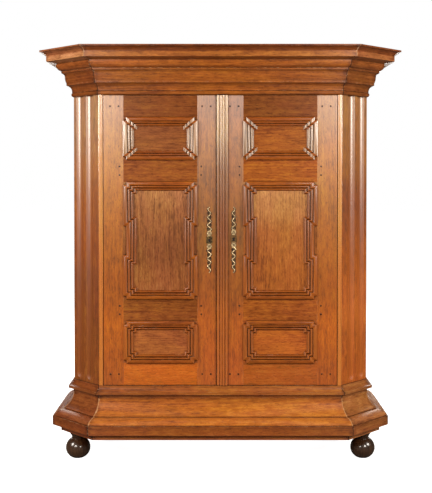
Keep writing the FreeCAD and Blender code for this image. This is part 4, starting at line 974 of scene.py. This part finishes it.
def key_plate(name, node, body, hand, lift, pierced, plate_brass):
    """One whole key plate round the CAD plate's centre."""
    low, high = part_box(node)
    x, z, face = (low.x + high.x) / 2, (low.z + high.z) / 2 + lift, high.y
    brass = bmesh.new()
    centre = [notched_line(PLATE_WIDTH, PLATE_HEIGHT), keyhole_line()]
    centre += [ring_line(u * CORNER_HOLE[0], v * CORNER_HOLE[1], 0.0023, 0.0040, 12)
               for u, v in pierced]
    sawn_plate(brass, x, z, centre, face, BRASS_THICKNESS, finish=2)
    # A dark sheet behind the plate: old wax, and the painted shadow seen through the keyhole and
    # holes.
    behind = [notched_line(PLATE_WIDTH - 0.002, PLATE_HEIGHT - 0.002)]
    sawn_plate(brass, x, z, behind, face, WAX_THICKNESS, finish=1)
    for u, v in FOUR_WAYS:
        button(brass, x + u * PIN_PLACE[0], z + v * PIN_PLACE[1], 0.0013, face - BRASS_THICKNESS,
               0.0009, 10, 3)
    for end in (1, -1):
        middle = z + end * (PLATE_HEIGHT + SHIELD_HEIGHT) / 2
        shield = [lobed_line(SHIELD_WIDTH, SHIELD_HEIGHT / 2 + 0.0006)]
        shield += [ring_line(u, v * end, *size) for u, v, *size in SHIELD_HOLES]
        sawn_plate(brass, x, middle, shield, face, BRASS_THICKNESS)
        # A wider dark sheet round the shield: old wax, and painted shadow at its edge and in its
        # holes.
        wax = [lobed_line(SHIELD_WIDTH + 0.0021, SHIELD_HEIGHT / 2 + 0.0018)]
        sawn_plate(brass, x, middle, wax, face, WAX_THICKNESS, finish=1)
        button(brass, x, middle + end * 0.0004, 0.0022, face, 0.0018)
        foot = z + end * (PLATE_HEIGHT / 2 + SHIELD_HEIGHT - 0.001)
        tip = (high.z if end > 0 else low.z) - end * 0.003
        vine(brass, x, foot, tip, hand * end, face)
    finish_piece(name, brass, [vine_brass, old_wax, plate_brass], body, node)


key_plate("left_key_plate", "left_escutcheon", "left_door", 1, 0, FOUR_HOLES, left_plate_brass)
key_plate("right_key_plate", "right_escutcheon", "right_door", -1, RIGHT_PLATE_LIFT, (),
          right_plate_brass)

# %% [markdown]
# ## The reeded strip
# The strip on the right door's meeting edge hides the gap between the doors. It is run with
# scratch stocks: two reeds down its middle, a low crowned band on each side, and sharp quirks
# between them that read as dark lines. Its section is drawn once and drawn out over the door's
# height.

# %% Reeded strip
def strip_section(half):
    """The strip's section from its left edge to its right one: across, and out from the door."""
    left = [(-half, 0.0030), (-half + 0.0008, 0.0030), (-half + 0.0012, 0.0010),
            (-half + 0.0026, 0.0010)]
    left += arc((-half + 0.0030, 0.0060), (-0.0152, 0.0072), -0.0018, 7)
    left += [(-0.0148, 0.0048), (-0.0122, 0.0048)]
    left += arc((-0.0118, 0.0086), (-0.0012, 0.0096), -0.0032, 7)
    left += [(-0.0008, 0.0082)]
    right = [(-u, v) for u, v in reversed(left)]
    return [(-half, 0.0), *left, *right, (half, 0.0)]


low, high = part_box("astragal")
middle_x = (low.x + high.x) / 2
section = [Vector(point) for point in strip_section((high.x - low.x) / 2)]
reeds = bmesh.new()
ends = [[reeds.verts.new((middle_x + u, high.y - v, z)) for u, v in section]
        for z in (low.z, high.z)]
skin(reeds, ends)
for end in ends:
    reeds.faces.new(end)
finish_piece("reeded_strip", reeds, [strip_wood], "right_door", "astragal", crease=25)

# %% [markdown]
# ## Pegs
# Each tenon is held by square-cut oak pegs that were driven in and pared off, so every head is a
# little different and stands a hair proud. The pegs' places are read from the model's own pegs.

# %% Peg heads
PEG_RADIUS = 0.0052
PEG_CORNERS = 8
PEG_RECESS = 0.0008
PEG_DOME = ((1.0, 0.0), (0.97, 0.0005), (0.6, 0.00078))
PEG_SPREAD = 0.012


def peg_places(node):
    """The middle of each peg head of a CAD piece, from its corners."""
    pegs = []
    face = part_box(node)[0].y
    for corner in (vertex.co for vertex in boards[node].data.vertices):
        if abs(corner.y - face) > 1e-5:
            continue
        near = [peg for peg in pegs
                if math.hypot(peg[0][0] - corner.x, peg[0][2] - corner.z) < PEG_SPREAD]
        if near:
            near[0].append(tuple(corner))
        else:
            pegs.append([tuple(corner)])
    return [[sum(place[axis] for place in peg) / len(peg) for axis in range(3)] for peg in pegs]


for side in ("left", "right"):
    hand_cut = random.Random(side)
    heads = bmesh.new()
    places = peg_places(f"{side}_pegs")
    for x, y, z in places:
        outline = []
        for c, s in circle(PEG_CORNERS, hand_cut.uniform(0, 1)):
            reach = PEG_RADIUS * hand_cut.uniform(0.86, 1.08)
            outline.append((c * reach, s * reach))
        rows = [[heads.verts.new((x + u * scale, y + PEG_RECESS - rise, z + v * scale))
                 for u, v in outline] for scale, rise in PEG_DOME]
        skin(heads, rows, smooth=False)
        heads.faces.new(rows[0])
        heads.faces.new(rows[-1])
    finish_piece(f"{side}_peg_heads", heads, [peg_wood], f"{side}_door",
                 f"{side}_pegs")
    print(side, "door has", len(places), "pegs")

# %% [markdown]
# ## Panel mouldings
# The mouldings round the panels are run with a plane as long sticks, cut to length with mitred
# ends and nailed over the joint of frame and panel: a crowned band outside, then a reed and a bead
# that step down to the panel, with a deep quirk between them. Their corners step in with a square
# return. One profile and one path make the whole frame: every corner is square, so a point of the
# profile meets its neighbour where both sticks' inward ways are added. Each stick has its own
# grain.

# %% Mitred frames
CORNER_NOTCH = 0.017
SIDE_STEP = 0.017
SIDE_STEP_HEIGHT = 0.152
SMALL_FRAME_HEIGHT = 0.220
LEVEL_STICK_SHARE = 0.85


def stick_profile():
    """The stick's section: how far in from its outer edge, and how far out from the door."""
    band = arc((0.0, 0.0075), (0.0215, 0.0105), -0.0022, 8)
    reed = arc((0.0250, 0.0072), (0.0355, 0.0082), -0.0026, 7)
    bead = arc((0.0410, 0.0045), (0.0505, 0.0055), -0.0032, 7)
    return [(0, 0), *band, (0.0222, 0.0042), (0.0242, 0.0042), *reed, (0.0362, 0.0016),
            (0.0400, 0.0016), *bead, (0.0515, 0.0008), (0.0545, 0.0008), (0.0560, 0)]


def frame_path(half_x, half_z, stepped):
    """The frame's outer edge, with its notched corners and stepped sides, as (x, z) corners."""
    notch_x, notch_z = half_x - CORNER_NOTCH, half_z - CORNER_NOTCH
    quarter = [(half_x, notch_z), (notch_x, notch_z), (notch_x, half_z)]
    if stepped:
        inner, level = half_x - SIDE_STEP, SIDE_STEP_HEIGHT / 2
        quarter = [(inner, level), (half_x, level)] + quarter
    corners = []
    for flip_x, flip_z, order in ((1, 1, 1), (-1, 1, -1), (-1, -1, 1), (1, -1, -1)):
        corners += [(flip_x * u, flip_z * v) for u, v in quarter[::order]]
    return corners


def mitred_frame(shape, centre_x, centre_z, half_x, half_z, stepped, face):
    """Add one moulding frame to the shape. Its level sticks have the first finish."""
    corners = frame_path(half_x, half_z, stepped)
    inward = []
    for (ax, az), (bx, bz) in zip(corners, corners[1:] + corners[:1]):
        way = Vector((bx - ax, bz - az)).normalized()
        inward.append(Vector((-way.y, way.x)))
    profile = stick_profile()
    rings = []
    for n, (x, z) in enumerate(corners):
        lean = inward[n - 1] + inward[n]
        rings.append([shape.verts.new((centre_x + x + lean.x * u, face - v,
                                       centre_z + z + lean.y * u * LEVEL_STICK_SHARE))
                      for u, v in profile])
    for low, high, ahead in zip(rings, rings[1:] + rings[:1], inward):
        for patch in skin(shape, [low, high]):
            patch.material_index = 1 if abs(ahead.x) > 0.5 else 0


for side in ("left", "right"):
    finishes = [level_stick_wood, upright_stick_wood]
    sticks = bmesh.new()
    low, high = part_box(f"{side}_centre_moulding")
    middle_x, half_x = (low.x + high.x) / 2, (high.x - low.x) / 2
    mitred_frame(sticks, middle_x, (low.z + high.z) / 2, half_x, (high.z - low.z) / 2, True,
                 high.y)
    finish_piece(f"{side}_centre_sticks", sticks, finishes, f"{side}_door",
                 f"{side}_centre_moulding", crease=25)
    sticks = bmesh.new()
    low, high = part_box(f"{side}_small_mouldings")
    half_z = SMALL_FRAME_HEIGHT / 2
    for middle_z in (low.z + half_z, high.z - half_z):
        mitred_frame(sticks, middle_x, middle_z, half_x, half_z, False, high.y)
    finish_piece(f"{side}_small_sticks", sticks, finishes, f"{side}_door",
                 f"{side}_small_mouldings", crease=25)

# %% [markdown]
# ## Floor and light
# The cupboard stands on a plain pale floor in a pale room. Both look pale to the camera alone. To
# the light that bounces about they are much darker, or the base and the undersides of the cornice
# would be lit from everywhere and lose their shadows. Softboxes do the lighting, so the polish
# has something to mirror.

# %% Floor
FLOOR_REACH = 30
FLOOR_GLOW = 0.95
SEEN_FLOOR = (0.85, 0.85, 0.85, 1)
UNSEEN_FLOOR = (0.16, 0.14, 0.12, 1)

ground = [(x * FLOOR_REACH, y * FLOOR_REACH, 0) for x, y in ((-1, -1), (1, -1), (1, 1), (-1, 1))]
floor_mesh = bpy.data.meshes.new("floor")
floor_mesh.from_pydata(ground, [], [(0, 1, 2, 3)])
floor = bring_in("floor", floor_mesh)
floor_paint, tree, shader = new_material("pale floor")
seen = add(tree, "LightPath").outputs["Is Camera Ray"]
feed(tree, shader, {"Base Color": blend(tree, seen, UNSEEN_FLOOR, SEEN_FLOOR), "Roughness": 0.9,
                    "Emission Color": (1, 1, 1, 1),
                    "Emission Strength": calc(tree, "MULTIPLY", FLOOR_GLOW, seen)})
floor_mesh.materials.append(floor_paint)
print("floor", 2 * FLOOR_REACH, "m wide")

# %% Room
LAMP_TINT = (1.0, 0.94, 0.86)
UNSEEN_GLOW = 0.08

world = bpy.data.worlds.new("room")
bpy.context.scene.world = world
world.use_nodes = True
room = world.node_tree
seen = add(room, "LightPath").outputs["Is Camera Ray"]
strength = calc(room, "MULTIPLY_ADD", seen, 1 - UNSEEN_GLOW, UNSEEN_GLOW)
room_light = blend(room, seen, (*LAMP_TINT, 1), (1, 1, 1, 1))
feed(room, room.nodes["Background"], {"Strength": strength, "Color": room_light})
print("room glows at", UNSEEN_GLOW, "where the camera doesn't look")

# %% Softboxes
STRIP_POWER = {-1: 85, 1: 70}
KEY_POWER = 105
FILL_POWER = 60


def softbox(name, place, target, size, power):
    """A rectangular lamp that faces its target."""
    lamp = bpy.data.lights.new(name, "AREA")
    lamp.shape = "RECTANGLE"
    lamp.size, lamp.size_y = size
    lamp.energy = power
    lamp.color = LAMP_TINT
    box = bring_in(name, lamp)
    box.location = place
    box.rotation_euler = (Vector(target) - Vector(place)).to_track_quat("-Z", "Y").to_euler()


for side in (-1, 1):
    softbox(f"strip_light_{side}", (side * 3.3, -1.6, 2.3), (side * 0.69, -0.1, 1.8), (0.6, 1.2),
            STRIP_POWER[side])
    softbox(f"key_light_{side}", (side * 2.2, -4.8, 2.6), (0, -0.2, 1.3), (1, 1), KEY_POWER)
    softbox(f"back_light_{side}", (side * 2.6, 4.5, 2.6), (0, 0.2, 1.2), (2, 2), FILL_POWER)
softbox("top_light", (0, 0.2, 5.0), (0, 0.2, 2.0), (2, 2), FILL_POWER)
print(len(bpy.data.lights), "softboxes")
